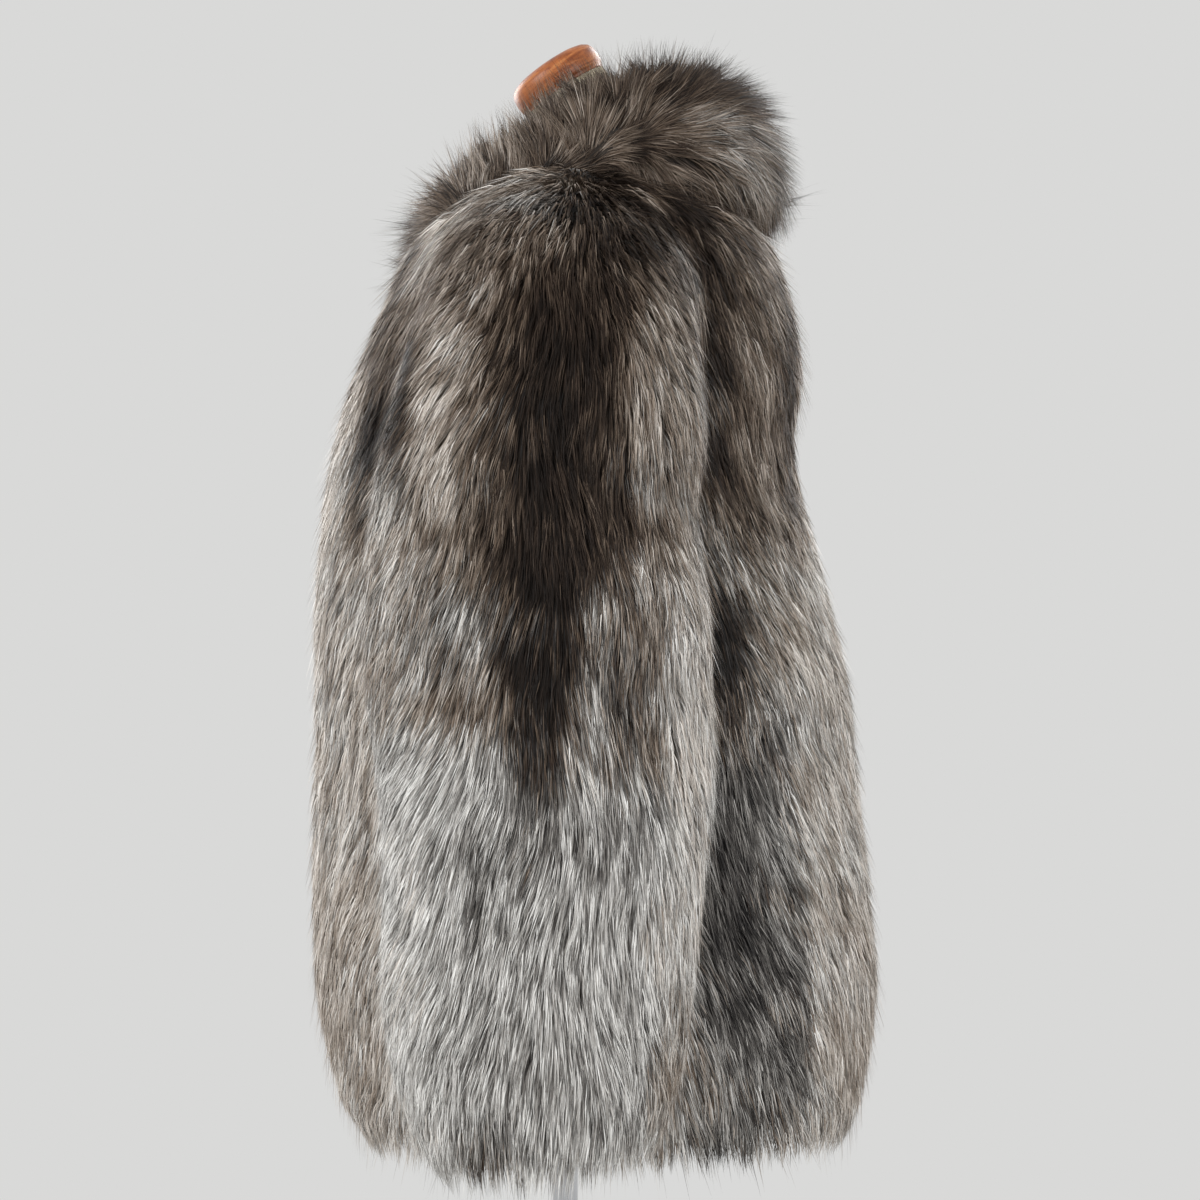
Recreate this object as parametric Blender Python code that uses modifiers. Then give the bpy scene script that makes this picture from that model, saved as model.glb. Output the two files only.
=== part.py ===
"""A long-haired fur coat resting on a limbless dress form.

Metres, +Z up. The coat's front faces -Y and the wearer's left is +X. The origin is at the
centre of the base plate's underside, on the pole's axis.

Each coat panel is a wall as thick as the pelt with its standing hair, so its outer face is
the reach of the fur. Panels stop SEAM_GAP short of each other at every seam.
"""

import bpy
import bmesh
from math import copysign, cos, pi, radians, sin
from mathutils import Matrix, Vector

# ---- driving sizes, metres -------------------------------------------------------------
SEAM_GAP = 0.0003          # clearance between neighbouring pieces
FUR_WALL = 0.030           # pelt with its standing hair
PRESSED_WALL = 0.012       # the same fur where sleeve and body lie against each other
BODY_SIDES = 44            # points round the body
SLEEVE_SIDES = 24          # points round a sleeve
COLLAR_SIDES = 12          # points round the collar's roll
COLLAR_STEPS = 24          # sections along the collar
FORM_SIDES = 28            # points round the dress form

ARMHOLE_X = 0.170          # the armhole lies in this plane
ARMPIT_Z = 1.040           # height of the point that the sleeve turns about
SLEEVE_ARMPIT_R = 0.031    # the sleeve's underside turns at this radius
SHOULDER_WALL_Z = 1.250    # above this the body's wall is full again, over the shoulder
CUTTER_X = 0.30            # how far the cutters reach to the sides, front and back
CUTTER_BOTTOM = 0.50
CUTTER_TOP = 1.40

BASE_RADIUS = 0.165
BASE_THICK = 0.008
HUB_RADIUS = 0.032
HUB_TOP = 0.040
POLE_RADIUS = 0.0095
FORM_BOTTOM = 0.690

CAP_RADIUS = 0.036
CAP_THICK = 0.022
CAP_TILT = radians(34)     # the wooden cap tips forward
CAP_UNDERSIDE = Vector((0.0, 0.000, 1.364))

# The body's outer face, hem to neck. side, front and back are the heights of the section
# at the side seam, the centre front and the centre back; depths are measured from Y = 0.
BODY_COLUMNS = ("side", "front", "back", "half_width", "depth_front", "depth_back", "power")
BODY_SECTIONS = (
    (0.597, 0.594, 0.588, 0.1900, 0.145, 0.200, 2.3),   # hem edge
    (0.612, 0.612, 0.606, 0.2000, 0.160, 0.213, 2.3),
    (0.645, 0.645, 0.643, 0.2085, 0.173, 0.224, 2.3),
    (0.690, 0.690, 0.692, 0.2115, 0.183, 0.231, 2.3),
    (0.760, 0.760, 0.760, 0.2085, 0.186, 0.227, 2.3),
    (0.840, 0.840, 0.840, 0.2040, 0.186, 0.218, 2.3),
    (0.915, 0.915, 0.915, 0.2005, 0.185, 0.211, 2.3),
    (0.985, 0.985, 0.985, 0.1995, 0.185, 0.195, 2.3),
    (1.035, 1.045, 1.045, 0.1985, 0.179, 0.180, 2.3),
    (1.075, 1.095, 1.100, 0.1975, 0.172, 0.169, 2.25),  # underarm
    (1.130, 1.133, 1.135, 0.1960, 0.161, 0.175, 2.2),
    (1.180, 1.172, 1.172, 0.1950, 0.146, 0.174, 2.25),
    (1.224, 1.208, 1.208, 0.1935, 0.130, 0.166, 2.3),
    (1.254, 1.236, 1.242, 0.1880, 0.118, 0.154, 2.2),
    (1.277, 1.254, 1.268, 0.1740, 0.107, 0.138, 2.0),   # shoulder point
    (1.293, 1.262, 1.284, 0.1380, 0.095, 0.121, 1.9),
    (1.302, 1.264, 1.294, 0.0980, 0.082, 0.104, 2.0),   # neck edge
)

# The left sleeve's outer face. In the turn over the shoulder, lift is the angle of the
# section's plane and near and far are distances from the turning point; where the sleeve
# hangs, near and far are places in X and height is the section's height. near_power
# squares off the half that faces the body, so that it spans the whole armpit.
TURN_COLUMNS = ("lift", "near", "far", "front", "back", "power", "near_power")
TURN_SECTIONS = (
    (90, SLEEVE_ARMPIT_R, 0.2380, 0.099, 0.097, 2.2, 4.5),
    (74, SLEEVE_ARMPIT_R, 0.2240, 0.103, 0.094, 2.2, 4.5),
    (58, SLEEVE_ARMPIT_R, 0.2030, 0.108, 0.094, 2.3, 4.0),
    (42, SLEEVE_ARMPIT_R, 0.1810, 0.114, 0.097, 2.3, 3.5),
    (27, SLEEVE_ARMPIT_R, 0.1640, 0.120, 0.097, 2.4, 3.0),
    (12, SLEEVE_ARMPIT_R, 0.1540, 0.126, 0.093, 2.5, 2.6),
)
HANG_COLUMNS = ("height", "near", "far", "front", "back", "power", "near_power")
HANG_SECTIONS = (
    (1.020, 0.2012, 0.3215, 0.130, 0.093, 2.5, 2.5),    # crease at the elbow
    (0.970, 0.2015, 0.3220, 0.133, 0.100, 2.5, 2.5),
    (0.916, 0.2025, 0.3230, 0.130, 0.102, 2.5, 2.5),
    (0.848, 0.2060, 0.3240, 0.121, 0.102, 2.5, 2.5),
    (0.781, 0.2105, 0.3250, 0.119, 0.094, 2.5, 2.5),
    (0.714, 0.2145, 0.3250, 0.119, 0.088, 2.5, 2.5),
    (0.672, 0.2165, 0.3235, 0.113, 0.082, 2.4, 2.4),
    (0.640, 0.2180, 0.3200, 0.104, 0.073, 2.3, 2.3),
    (0.614, 0.2205, 0.3140, 0.088, 0.060, 2.2, 2.2),
    (0.592, 0.2260, 0.3050, 0.070, 0.044, 2.1, 2.1),    # cuff edge
)

# The collar's roll, from the centre back (0 degrees) to its front end. reach is the roll's
# middle, measured out from the neck's axis, half_out and half_up are its half sizes, and
# lean is how far its foot stands out beyond that middle and its top stands in.
COLLAR_COLUMNS = ("turn", "reach", "middle", "half_out", "half_up", "lean")
COLLAR_SECTIONS = (
    (0, 0.121, 1.320, 0.040, 0.058, 0.016),
    (40, 0.117, 1.319, 0.040, 0.056, 0.014),
    (80, 0.106, 1.308, 0.039, 0.051, 0.010),
    (115, 0.096, 1.284, 0.036, 0.042, 0.006),
    (145, 0.092, 1.258, 0.030, 0.036, 0.004),
    (176, 0.092, 1.236, 0.019, 0.028, 0.002),
)
COLLAR_AXIS_Y = 0.003
COLLAR_POWER = 2.5
COLLAR_FRONT_TURN = 177    # degrees from centre back to the collar's front edge

# The dress form, hip to neck. tilt tips a section forward.
FORM_COLUMNS = ("height", "middle", "half_width", "depth_front", "depth_back", "tilt")
FORM_SECTIONS = (
    (0.690, 0.000, 0.138, 0.098, 0.104, 0),
    (0.700, 0.000, 0.150, 0.108, 0.114, 0),
    (0.770, 0.000, 0.158, 0.113, 0.122, 0),             # hip
    (0.860, 0.000, 0.146, 0.102, 0.108, 0),
    (0.940, 0.000, 0.130, 0.092, 0.090, 0),             # waist
    (1.020, 0.000, 0.142, 0.106, 0.094, 0),
    (1.100, 0.000, 0.152, 0.116, 0.104, 0),             # chest
    (1.160, 0.004, 0.156, 0.104, 0.108, 0),
    (1.200, 0.008, 0.156, 0.088, 0.102, 0),
    (1.228, 0.012, 0.146, 0.072, 0.086, 0),             # shoulder
    (1.246, 0.017, 0.118, 0.059, 0.068, 4),
    (1.262, 0.022, 0.080, 0.049, 0.055, 8),
    (1.284, 0.026, 0.052, 0.043, 0.046, 16),            # neck root
    (1.314, 0.022, 0.040, 0.038, 0.039, 26),
)
FORM_NECK_RADIUS = 0.034

COLOURS = {
    "back": (0.20, 0.18, 0.17), "front_left": (0.24, 0.22, 0.20),
    "front_right": (0.23, 0.21, 0.19), "sleeve_left": (0.26, 0.24, 0.22),
    "sleeve_right": (0.25, 0.23, 0.21), "collar": (0.14, 0.12, 0.11),
    "form_torso": (0.60, 0.55, 0.46), "neck_cap": (0.42, 0.14, 0.03),
    "pole": (0.70, 0.70, 0.72), "base": (0.65, 0.65, 0.67),
}
METALS = ("pole", "base")


# ---- small helpers ---------------------------------------------------------------------
def clear_scene():
    for thing in list(bpy.data.objects):
        bpy.data.objects.remove(thing)


def new_collection(name):
    group = bpy.data.collections.new(name)
    bpy.context.scene.collection.children.link(group)
    return group


def rows(columns, table):
    return [dict(zip(columns, values)) for values in table]


def blend_rows(first, second, share):
    return {key: first[key] + (second[key] - first[key]) * share for key in first}


def row_at(table, key, value):
    """The table's row at a value of one rising column, blended between its neighbours."""
    for first, second in zip(table, table[1:]):
        if value <= second[key]:
            share = (value - first[key]) / (second[key] - first[key])
            return blend_rows(first, second, max(share, 0.0))
    return dict(table[-1])


def rounded(value, power):
    """One coordinate of a superellipse, from a sine or cosine."""
    return copysign(abs(value) ** (2.0 / power), value)


def arc_points(centre, radius, start, end, count):
    turns = [radians(start + (end - start) * i / count) for i in range(count + 1)]
    return [(centre[0] + radius * cos(turn), centre[1] + radius * sin(turn)) for turn in turns]


def finish_piece(name, mesh, group):
    piece = bpy.data.objects.new(name, mesh)
    group.objects.link(piece)
    material = bpy.data.materials.new(name)
    material.use_nodes = True
    shader = material.node_tree.nodes["Principled BSDF"]
    shader.inputs["Base Color"].default_value = (*COLOURS[name], 1.0)
    shader.inputs["Roughness"].default_value = 0.25 if name in METALS else 0.8
    shader.inputs["Metallic"].default_value = 1.0 if name in METALS else 0.0
    mesh.materials.append(material)
    mesh.shade_smooth()
    return piece


def grid_mesh(name, rings, closed, capped=False):
    """Quads between rings of points; a closed ring joins its last point to its first."""
    made = bmesh.new()
    lines = [[made.verts.new(point) for point in ring] for ring in rings]
    count = len(rings[0])
    for lower, upper in zip(lines, lines[1:]):
        for i in range(count if closed else count - 1):
            j = (i + 1) % count
            made.faces.new((lower[i], lower[j], upper[j], upper[i]))
    if capped:
        made.faces.new(lines[0])
        made.faces.new(lines[-1])
    bmesh.ops.recalc_face_normals(made, faces=made.faces)
    mesh = bpy.data.meshes.new(name)
    made.to_mesh(mesh)
    made.free()
    return mesh


def thicken(piece, pressed):
    """A wall inwards from the outer face, thinner at the points named in pressed."""
    group = piece.vertex_groups.new(name="hair_depth")
    thin = PRESSED_WALL / FUR_WALL
    for vertex in piece.data.vertices:
        group.add([vertex.index], thin if vertex.index in pressed else 1.0, "REPLACE")
    wall = piece.modifiers.new("wall", "SOLIDIFY")
    wall.thickness = FUR_WALL
    wall.offset = -1.0
    wall.vertex_group = group.name
    return piece


def cut(piece, cutter, operation="DIFFERENCE"):
    boolean = piece.modifiers.new("cut_" + cutter.name, "BOOLEAN")
    boolean.operation = operation
    boolean.solver = "EXACT"
    boolean.object = cutter


def new_cutter(name, mesh, group):
    cutter = bpy.data.objects.new(name, mesh)
    cutter.hide_render = True
    cutter.display_type = "WIRE"
    group.objects.link(cutter)
    return cutter


def box_cutter(name, low, high, group):
    made = bmesh.new()
    bmesh.ops.create_cube(made, size=1.0)
    size = Vector(high) - Vector(low)
    middle = (Vector(high) + Vector(low)) / 2
    bmesh.ops.transform(made, matrix=Matrix.Translation(middle) @ Matrix.Diagonal((*size, 1.0)),
                        verts=made.verts)
    mesh = bpy.data.meshes.new(name)
    made.to_mesh(mesh)
    made.free()
    return new_cutter(name, mesh, group)


# ---- the coat's body -------------------------------------------------------------------
def body_point(row, angle, grow=0.0):
    """A point on a body section; angle runs from +X (left side) through +Y (back)."""
    across, along = cos(angle), sin(angle)
    depth = row["depth_back"] if along > 0 else row["depth_front"]
    centre_height = row["back"] if along > 0 else row["front"]
    weight = along * along
    return Vector((
        (row["half_width"] + grow) * rounded(across, row["power"]),
        (depth + grow) * rounded(along, row["power"]),
        row["side"] * (1 - weight) + centre_height * weight,
    ))


def make_panel(name, low, high, armholes, group, cutters):
    """One panel: the body's wall with its armholes, kept inside a box that ends at its seams."""
    table = rows(BODY_COLUMNS, BODY_SECTIONS)
    angles = [2 * pi * i / BODY_SIDES for i in range(BODY_SIDES)]
    rings = [[body_point(row, angle) for angle in angles] for row in table]
    piece = finish_piece(name, grid_mesh(name, rings, closed=True), group)
    pressed = set()
    for k, row in enumerate(table):
        for i, angle in enumerate(angles):
            sideways = abs(cos(angle))
            under_sleeve = sideways > 0.92 and row["side"] < ARMPIT_Z
            at_armhole = sideways > 0.80 and ARMPIT_Z < row["side"] < SHOULDER_WALL_Z
            if under_sleeve or at_armhole or k == 0:
                pressed.add(k * BODY_SIDES + i)
    thicken(piece, pressed)
    for armhole in armholes:
        cut(piece, armhole)
    kept = box_cutter("seams_" + name, (*low, CUTTER_BOTTOM), (*high, CUTTER_TOP), cutters)
    cut(piece, kept, "INTERSECT")
    return piece


def body_envelope(group):
    """The body's outer form as one solid, grown by the seam gap: it seats the collar."""
    angles = [2 * pi * i / BODY_SIDES for i in range(BODY_SIDES)]
    rings = []
    for row in rows(BODY_COLUMNS, BODY_SECTIONS)[9:]:
        raised = dict(row)
        for key in ("side", "front", "back"):
            raised[key] += SEAM_GAP * 2
        rings.append([body_point(raised, angle, SEAM_GAP * 2) for angle in angles])
    return new_cutter("body_envelope", grid_mesh("body_envelope", rings, True, True), group)


# ---- sleeves ---------------------------------------------------------------------------
def sleeve_rings():
    """Rings of the left sleeve, armhole to cuff."""
    rings = []
    angles = [2 * pi * i / SLEEVE_SIDES for i in range(SLEEVE_SIDES)]
    for row in rows(TURN_COLUMNS, TURN_SECTIONS):
        lift = radians(row["lift"])
        out = Vector((cos(lift), 0.0, sin(lift)))
        start = Vector((ARMHOLE_X, 0.0, ARMPIT_Z))
        rings.append(sleeve_ring(row, start, out, angles))
    for row in rows(HANG_COLUMNS, HANG_SECTIONS):
        start = Vector((0.0, 0.0, row["height"]))
        rings.append(sleeve_ring(row, start, Vector((1.0, 0.0, 0.0)), angles))
    return rings


def sleeve_ring(row, start, out, angles):
    middle = start + out * (row["near"] + row["far"]) / 2
    half = (row["far"] - row["near"]) / 2
    ring = []
    for angle in angles:
        away, along = cos(angle), sin(angle)
        depth = row["back"] if along > 0 else row["front"]
        power = row["power"] if away > 0 else row["near_power"]
        point = middle + out * half * rounded(away, power)
        point.y += depth * rounded(along, power)
        ring.append(point)
    return ring


def mirrored(rings):
    return [[Vector((-point.x, point.y, point.z)) for point in ring] for ring in rings]


def extended(rings, distance):
    """The armhole ring carried on inwards, so that a plane can trim it square."""
    inward = Vector((-copysign(distance, rings[0][0].x), 0.0, 0.0))
    return [[point + inward for point in rings[0]]] + rings


def make_sleeve(name, side, group, cutters):
    rings = sleeve_rings()
    if side < 0:
        rings = mirrored(rings)
    rings = extended(rings, 0.020)
    piece = finish_piece(name, grid_mesh(name, rings, closed=True), group)
    pressed = set()
    for k, ring in enumerate(rings):
        for i in range(SLEEVE_SIDES):
            faces_body = cos(2 * pi * i / SLEEVE_SIDES) < -0.6
            if (faces_body and k >= 5) or k == len(rings) - 1:
                pressed.add(k * SLEEVE_SIDES + i)
    thicken(piece, pressed)
    edge = (ARMHOLE_X + SEAM_GAP) * side
    low, high = sorted((edge, 0.0))
    cut(piece, box_cutter("trim_" + name, (low, -CUTTER_X, CUTTER_BOTTOM),
                          (high, CUTTER_X, CUTTER_TOP), cutters))
    return piece


def armhole_cutter(name, side, cutters):
    """What the body's wall gives up to the sleeve: all beyond the armhole's plane, and
    below it all outside the arc that the sleeve's underside turns on."""
    radius = SLEEVE_ARMPIT_R - SEAM_GAP
    outline = [(CUTTER_X, CUTTER_TOP), (ARMHOLE_X, CUTTER_TOP)]
    outline += arc_points((ARMHOLE_X, ARMPIT_Z), radius, 90, 0, 4)
    outline += [(CUTTER_X, ARMPIT_Z)]
    rings = [[Vector((x * side, y, z)) for x, z in outline] for y in (-CUTTER_X, CUTTER_X)]
    return new_cutter(name, grid_mesh(name, rings, True, True), cutters)


# ---- collar ----------------------------------------------------------------------------
def make_collar(group, seat):
    table = rows(COLLAR_COLUMNS, COLLAR_SECTIONS)
    rings = []
    for step in range(COLLAR_STEPS + 1):
        turn = -COLLAR_FRONT_TURN + 2 * COLLAR_FRONT_TURN * step / COLLAR_STEPS
        row = row_at(table, "turn", abs(turn))
        out = Vector((sin(radians(turn)), cos(radians(turn)), 0.0))
        ring = []
        for i in range(COLLAR_SIDES):
            angle = 2 * pi * i / COLLAR_SIDES
            upwards = rounded(sin(angle), COLLAR_POWER)
            reach = row["reach"] + row["half_out"] * rounded(cos(angle), COLLAR_POWER)
            reach -= row["lean"] * upwards
            point = Vector((0.0, COLLAR_AXIS_Y, row["middle"])) + out * reach
            point.z += row["half_up"] * upwards
            ring.append(point)
        rings.append(ring)
    piece = finish_piece("collar", grid_mesh("collar", rings, True, True), group)
    cut(piece, seat)
    return piece


# ---- dress form and stand --------------------------------------------------------------
def make_form(group):
    rings = []
    for row in rows(FORM_COLUMNS, FORM_SECTIONS):
        tip = Matrix.Rotation(radians(row["tilt"]), 3, "X")
        ring = []
        for i in range(FORM_SIDES):
            angle = 2 * pi * i / FORM_SIDES
            depth = row["depth_back"] if sin(angle) > 0 else row["depth_front"]
            flat = Vector((row["half_width"] * cos(angle), depth * sin(angle), 0.0))
            ring.append(tip @ flat + Vector((0.0, row["middle"], row["height"])))
        rings.append(ring)
    tip = Matrix.Rotation(CAP_TILT, 3, "X")
    top = CAP_UNDERSIDE - tip @ Vector((0.0, 0.0, SEAM_GAP))
    for below in (0.022, 0.0):
        middle = top - tip @ Vector((0.0, 0.0, below))
        rings.append([middle + tip @ Vector((FORM_NECK_RADIUS * cos(2 * pi * i / FORM_SIDES),
                                             FORM_NECK_RADIUS * sin(2 * pi * i / FORM_SIDES),
                                             0.0)) for i in range(FORM_SIDES)])
    return finish_piece("form_torso", grid_mesh("form_torso", rings, True, True), group)


def turned(name, outline, steps, group):
    """A solid of revolution about Z; the outline runs top to bottom on its +X side."""
    mesh = bpy.data.meshes.new(name)
    edges = [(i, i + 1) for i in range(len(outline) - 1)]
    mesh.from_pydata([(radius, 0.0, height) for radius, height in outline], edges, [])
    piece = finish_piece(name, mesh, group)
    screw = piece.modifiers.new("turn", "SCREW")
    screw.steps = steps
    screw.render_steps = steps
    screw.use_merge_vertices = True
    screw.merge_threshold = 0.00001
    return piece


def make_cap(group):
    edge = 0.008
    crown = 0.003
    outline = [(0.0, CAP_THICK), (CAP_RADIUS * 0.5, CAP_THICK - crown * 0.3)]
    outline += arc_points((CAP_RADIUS - edge, CAP_THICK - crown - edge), edge, 80, 0, 4)
    outline += arc_points((CAP_RADIUS - edge * 0.5, edge * 0.5), edge * 0.5, 0, -90, 3)
    outline += [(0.0, 0.0)]
    cap = turned("neck_cap", outline, 28, group)
    cap.location = CAP_UNDERSIDE
    cap.rotation_euler = (CAP_TILT, 0.0, 0.0)
    return cap


def make_pole(group):
    outline = [(0.0, FORM_BOTTOM - SEAM_GAP), (POLE_RADIUS, FORM_BOTTOM - SEAM_GAP),
               (POLE_RADIUS, HUB_TOP + SEAM_GAP), (0.0, HUB_TOP + SEAM_GAP)]
    return turned("pole", outline, 20, group)


def make_base(group):
    rim = 0.003
    outline = [(0.0, HUB_TOP), (HUB_RADIUS * 0.6, HUB_TOP), (HUB_RADIUS, HUB_TOP - 0.010),
               (HUB_RADIUS, BASE_THICK)]
    outline += arc_points((BASE_RADIUS - rim, BASE_THICK - rim), rim, 90, 0, 3)
    outline += [(BASE_RADIUS, 0.0), (0.0, 0.0)]
    return turned("base", outline, 40, group)


# ---- assembly --------------------------------------------------------------------------
def main():
    clear_scene()
    coat = new_collection("fur_coat")
    cutters = new_collection("cutters")

    left = armhole_cutter("armhole_left", 1, cutters)
    right = armhole_cutter("armhole_right", -1, cutters)
    reach, seam = CUTTER_X, SEAM_GAP / 2
    make_panel("back", (-reach, seam), (reach, reach), (left, right), coat, cutters)
    make_panel("front_left", (seam, -reach), (reach, -seam), (left,), coat, cutters)
    make_panel("front_right", (-reach, -reach), (-seam, -seam), (right,), coat, cutters)
    make_sleeve("sleeve_left", 1, coat, cutters)
    make_sleeve("sleeve_right", -1, coat, cutters)
    make_collar(coat, body_envelope(cutters))
    make_form(coat)
    make_cap(coat)
    make_pole(coat)
    make_base(coat)


main()
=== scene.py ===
# A long-haired silver fox coat on a limbless dress form. Metres, +Z up; the coat's front faces
# -Y and the wearer's left is +X. Each panel is a pelt: a thin wall of leather and dense
# underfur, with guard hair combed over it as joined strands.

import bmesh
import bpy
import numpy as np
from math import cos, pi, radians, sin
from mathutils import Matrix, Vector


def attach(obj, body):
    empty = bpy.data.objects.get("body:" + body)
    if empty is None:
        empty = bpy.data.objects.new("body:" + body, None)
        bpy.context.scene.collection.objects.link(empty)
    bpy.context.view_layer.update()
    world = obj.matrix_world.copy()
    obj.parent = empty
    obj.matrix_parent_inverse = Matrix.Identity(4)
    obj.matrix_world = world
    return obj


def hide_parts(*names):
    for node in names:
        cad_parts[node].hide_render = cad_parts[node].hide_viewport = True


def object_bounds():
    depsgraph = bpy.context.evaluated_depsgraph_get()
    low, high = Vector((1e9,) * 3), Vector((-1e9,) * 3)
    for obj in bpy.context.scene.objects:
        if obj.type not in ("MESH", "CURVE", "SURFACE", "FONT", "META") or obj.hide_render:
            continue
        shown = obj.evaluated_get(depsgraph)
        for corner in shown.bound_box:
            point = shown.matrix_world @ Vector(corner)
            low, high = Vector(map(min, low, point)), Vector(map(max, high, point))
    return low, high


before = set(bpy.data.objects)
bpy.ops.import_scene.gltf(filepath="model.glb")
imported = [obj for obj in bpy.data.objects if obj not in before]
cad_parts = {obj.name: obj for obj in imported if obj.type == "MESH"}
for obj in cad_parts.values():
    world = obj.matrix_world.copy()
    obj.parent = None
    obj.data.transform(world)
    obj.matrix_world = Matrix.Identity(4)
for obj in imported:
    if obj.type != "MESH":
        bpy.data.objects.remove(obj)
cad_low, cad_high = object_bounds()

SEED = 20

# ---- sizes of the coat, metres -----------------------------------------------------------
FUR_DEPTH = 0.013          # from the underfur's surface to the reach of the lying hair
PRESSED_DEPTH = 0.005      # the same where sleeve and body lie against each other
PELT_THICK = 0.013         # leather and dense underfur
PRESSED_THICK = 0.005
HEM_FRINGE = 0.034         # the hair hangs this far below the pelt's lower edge
CUFF_RISE = 0.30           # the cuff's back is cut higher than its front, by this slope
ARMHOLE_X = 0.170          # the sleeve turns over the shoulder round this place
ARMPIT_Z = 1.040
SLEEVE_ARMPIT_R = 0.031
UNDERARM_LAP = 0.016       # the body's pelt runs on this far behind the sleeve's underarm
SEAM_HALF = 0.0012         # the pelts stop this far short of the centre front and sides

# The body's outer face, hem to neck: side, front and back are the section's heights at the
# side seam, centre front and centre back; depths are measured from Y = 0.
BODY_COLUMNS = ("side", "front", "back", "half_width", "depth_front", "depth_back", "power")
BODY_SECTIONS = (
    (0.586, 0.587, 0.577, 0.1900, 0.145, 0.200, 2.3),
    (0.602, 0.606, 0.597, 0.2000, 0.160, 0.213, 2.3),
    (0.640, 0.642, 0.638, 0.2085, 0.173, 0.224, 2.3),
    (0.690, 0.690, 0.692, 0.2115, 0.183, 0.231, 2.3),
    (0.760, 0.760, 0.760, 0.2085, 0.186, 0.227, 2.3),
    (0.840, 0.840, 0.840, 0.2040, 0.186, 0.218, 2.3),
    (0.915, 0.915, 0.915, 0.2005, 0.185, 0.211, 2.3),
    (0.985, 0.985, 0.985, 0.1995, 0.185, 0.195, 2.3),
    (1.035, 1.045, 1.045, 0.1985, 0.179, 0.180, 2.3),
    (1.075, 1.095, 1.100, 0.1975, 0.172, 0.169, 2.25),
    (1.130, 1.133, 1.135, 0.1960, 0.161, 0.175, 2.2),
    (1.180, 1.172, 1.172, 0.1950, 0.146, 0.174, 2.25),
    (1.224, 1.208, 1.208, 0.1935, 0.130, 0.166, 2.3),
    (1.254, 1.236, 1.242, 0.1880, 0.118, 0.154, 2.2),
    (1.277, 1.254, 1.268, 0.1740, 0.107, 0.138, 2.0),
    (1.293, 1.262, 1.284, 0.1380, 0.095, 0.121, 1.9),
    (1.302, 1.264, 1.294, 0.0980, 0.082, 0.104, 2.0),
)

# The left sleeve's outer face. In the turn over the shoulder, lift is the angle of the
# section's plane and near and far are distances from the turning point; where the sleeve
# hangs, near and far are places in X.
TURN_COLUMNS = ("lift", "near", "far", "front", "back", "power", "near_power")
TURN_SECTIONS = (
    (97, SLEEVE_ARMPIT_R, 0.2390, 0.082, 0.086, 2.2, 4.5),       # tucked under the body's fur
    (90, SLEEVE_ARMPIT_R, 0.2380, 0.093, 0.097, 2.2, 4.5),
    (74, SLEEVE_ARMPIT_R, 0.2240, 0.098, 0.094, 2.2, 4.5),
    (58, SLEEVE_ARMPIT_R, 0.2030, 0.104, 0.094, 2.3, 4.0),
    (42, SLEEVE_ARMPIT_R, 0.1810, 0.112, 0.097, 2.3, 3.5),
    (27, SLEEVE_ARMPIT_R, 0.1640, 0.120, 0.097, 2.4, 3.0),
    (12, SLEEVE_ARMPIT_R, 0.1540, 0.126, 0.093, 2.5, 2.6),
)
HANG_COLUMNS = ("height", "near", "far", "front", "back", "power", "near_power")
HANG_SECTIONS = (
    (1.020, 0.2012, 0.3215, 0.130, 0.093, 2.5, 2.5),
    (0.970, 0.2015, 0.3220, 0.133, 0.100, 2.5, 2.5),
    (0.916, 0.2025, 0.3230, 0.130, 0.102, 2.5, 2.5),
    (0.848, 0.2060, 0.3240, 0.121, 0.102, 2.5, 2.5),
    (0.781, 0.2105, 0.3250, 0.119, 0.094, 2.5, 2.5),
    (0.714, 0.2145, 0.3250, 0.119, 0.088, 2.5, 2.5),
    (0.672, 0.2165, 0.3235, 0.113, 0.082, 2.4, 2.4),
    (0.640, 0.2180, 0.3200, 0.104, 0.073, 2.3, 2.3),
    (0.609, 0.2205, 0.3140, 0.088, 0.060, 2.2, 2.2),
    (0.583, 0.2260, 0.3050, 0.070, 0.044, 2.1, 2.1),
)

# The collar's roll, from the centre back (0 degrees) to its front end.
COLLAR_COLUMNS = ("turn", "reach", "middle", "half_out", "half_up", "lean")
COLLAR_SECTIONS = (
    (0, 0.114, 1.319, 0.039, 0.052, 0.016),
    (40, 0.112, 1.318, 0.039, 0.052, 0.014),
    (80, 0.104, 1.306, 0.038, 0.050, 0.010),
    (115, 0.095, 1.275, 0.036, 0.042, 0.006),
    (145, 0.092, 1.258, 0.030, 0.036, 0.004),
    (176, 0.092, 1.236, 0.019, 0.028, 0.002),
)
COLLAR_AXIS_Y = 0.003
COLLAR_POWER = 2.5
COLLAR_FRONT_TURN = 175
COLLAR_STEPS = 36
COLLAR_SEAT = (0.080, 1.245)  # nearer the neck and lower than this, the roll is in the shoulders

# Points round and along a piece's outer face, and faces round and along its pelt.
GRIDS = {
    "body": (360, 260, 72, 46),
    "sleeve": (240, 260, 40, 44),
    "collar": (120, 300, 28, 60),
}

# ---- how the hair lies -------------------------------------------------------------------
# Where the hair parts and turns in every direction, on the left; the right mirrors it.
SHOULDER_WHORL = Vector((0.150, 0.006, 1.300))
WHORL_DROP = 1.270         # below this height the hair turns from the whorl's way to the fall
WHORL_RADIUS = 0.026       # about a whorl or parting the hair is short and stands up
WHORL_CORE = 0.014         # and in its middle the hair is combed no way in particular
# The collar's hair parts along a line, from a whorl behind the ear down to the shoulder seam.
COLLAR_PARTING = (Vector((0.148, 0.050, 1.318)), Vector((0.108, -0.062, 1.258)))

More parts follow.
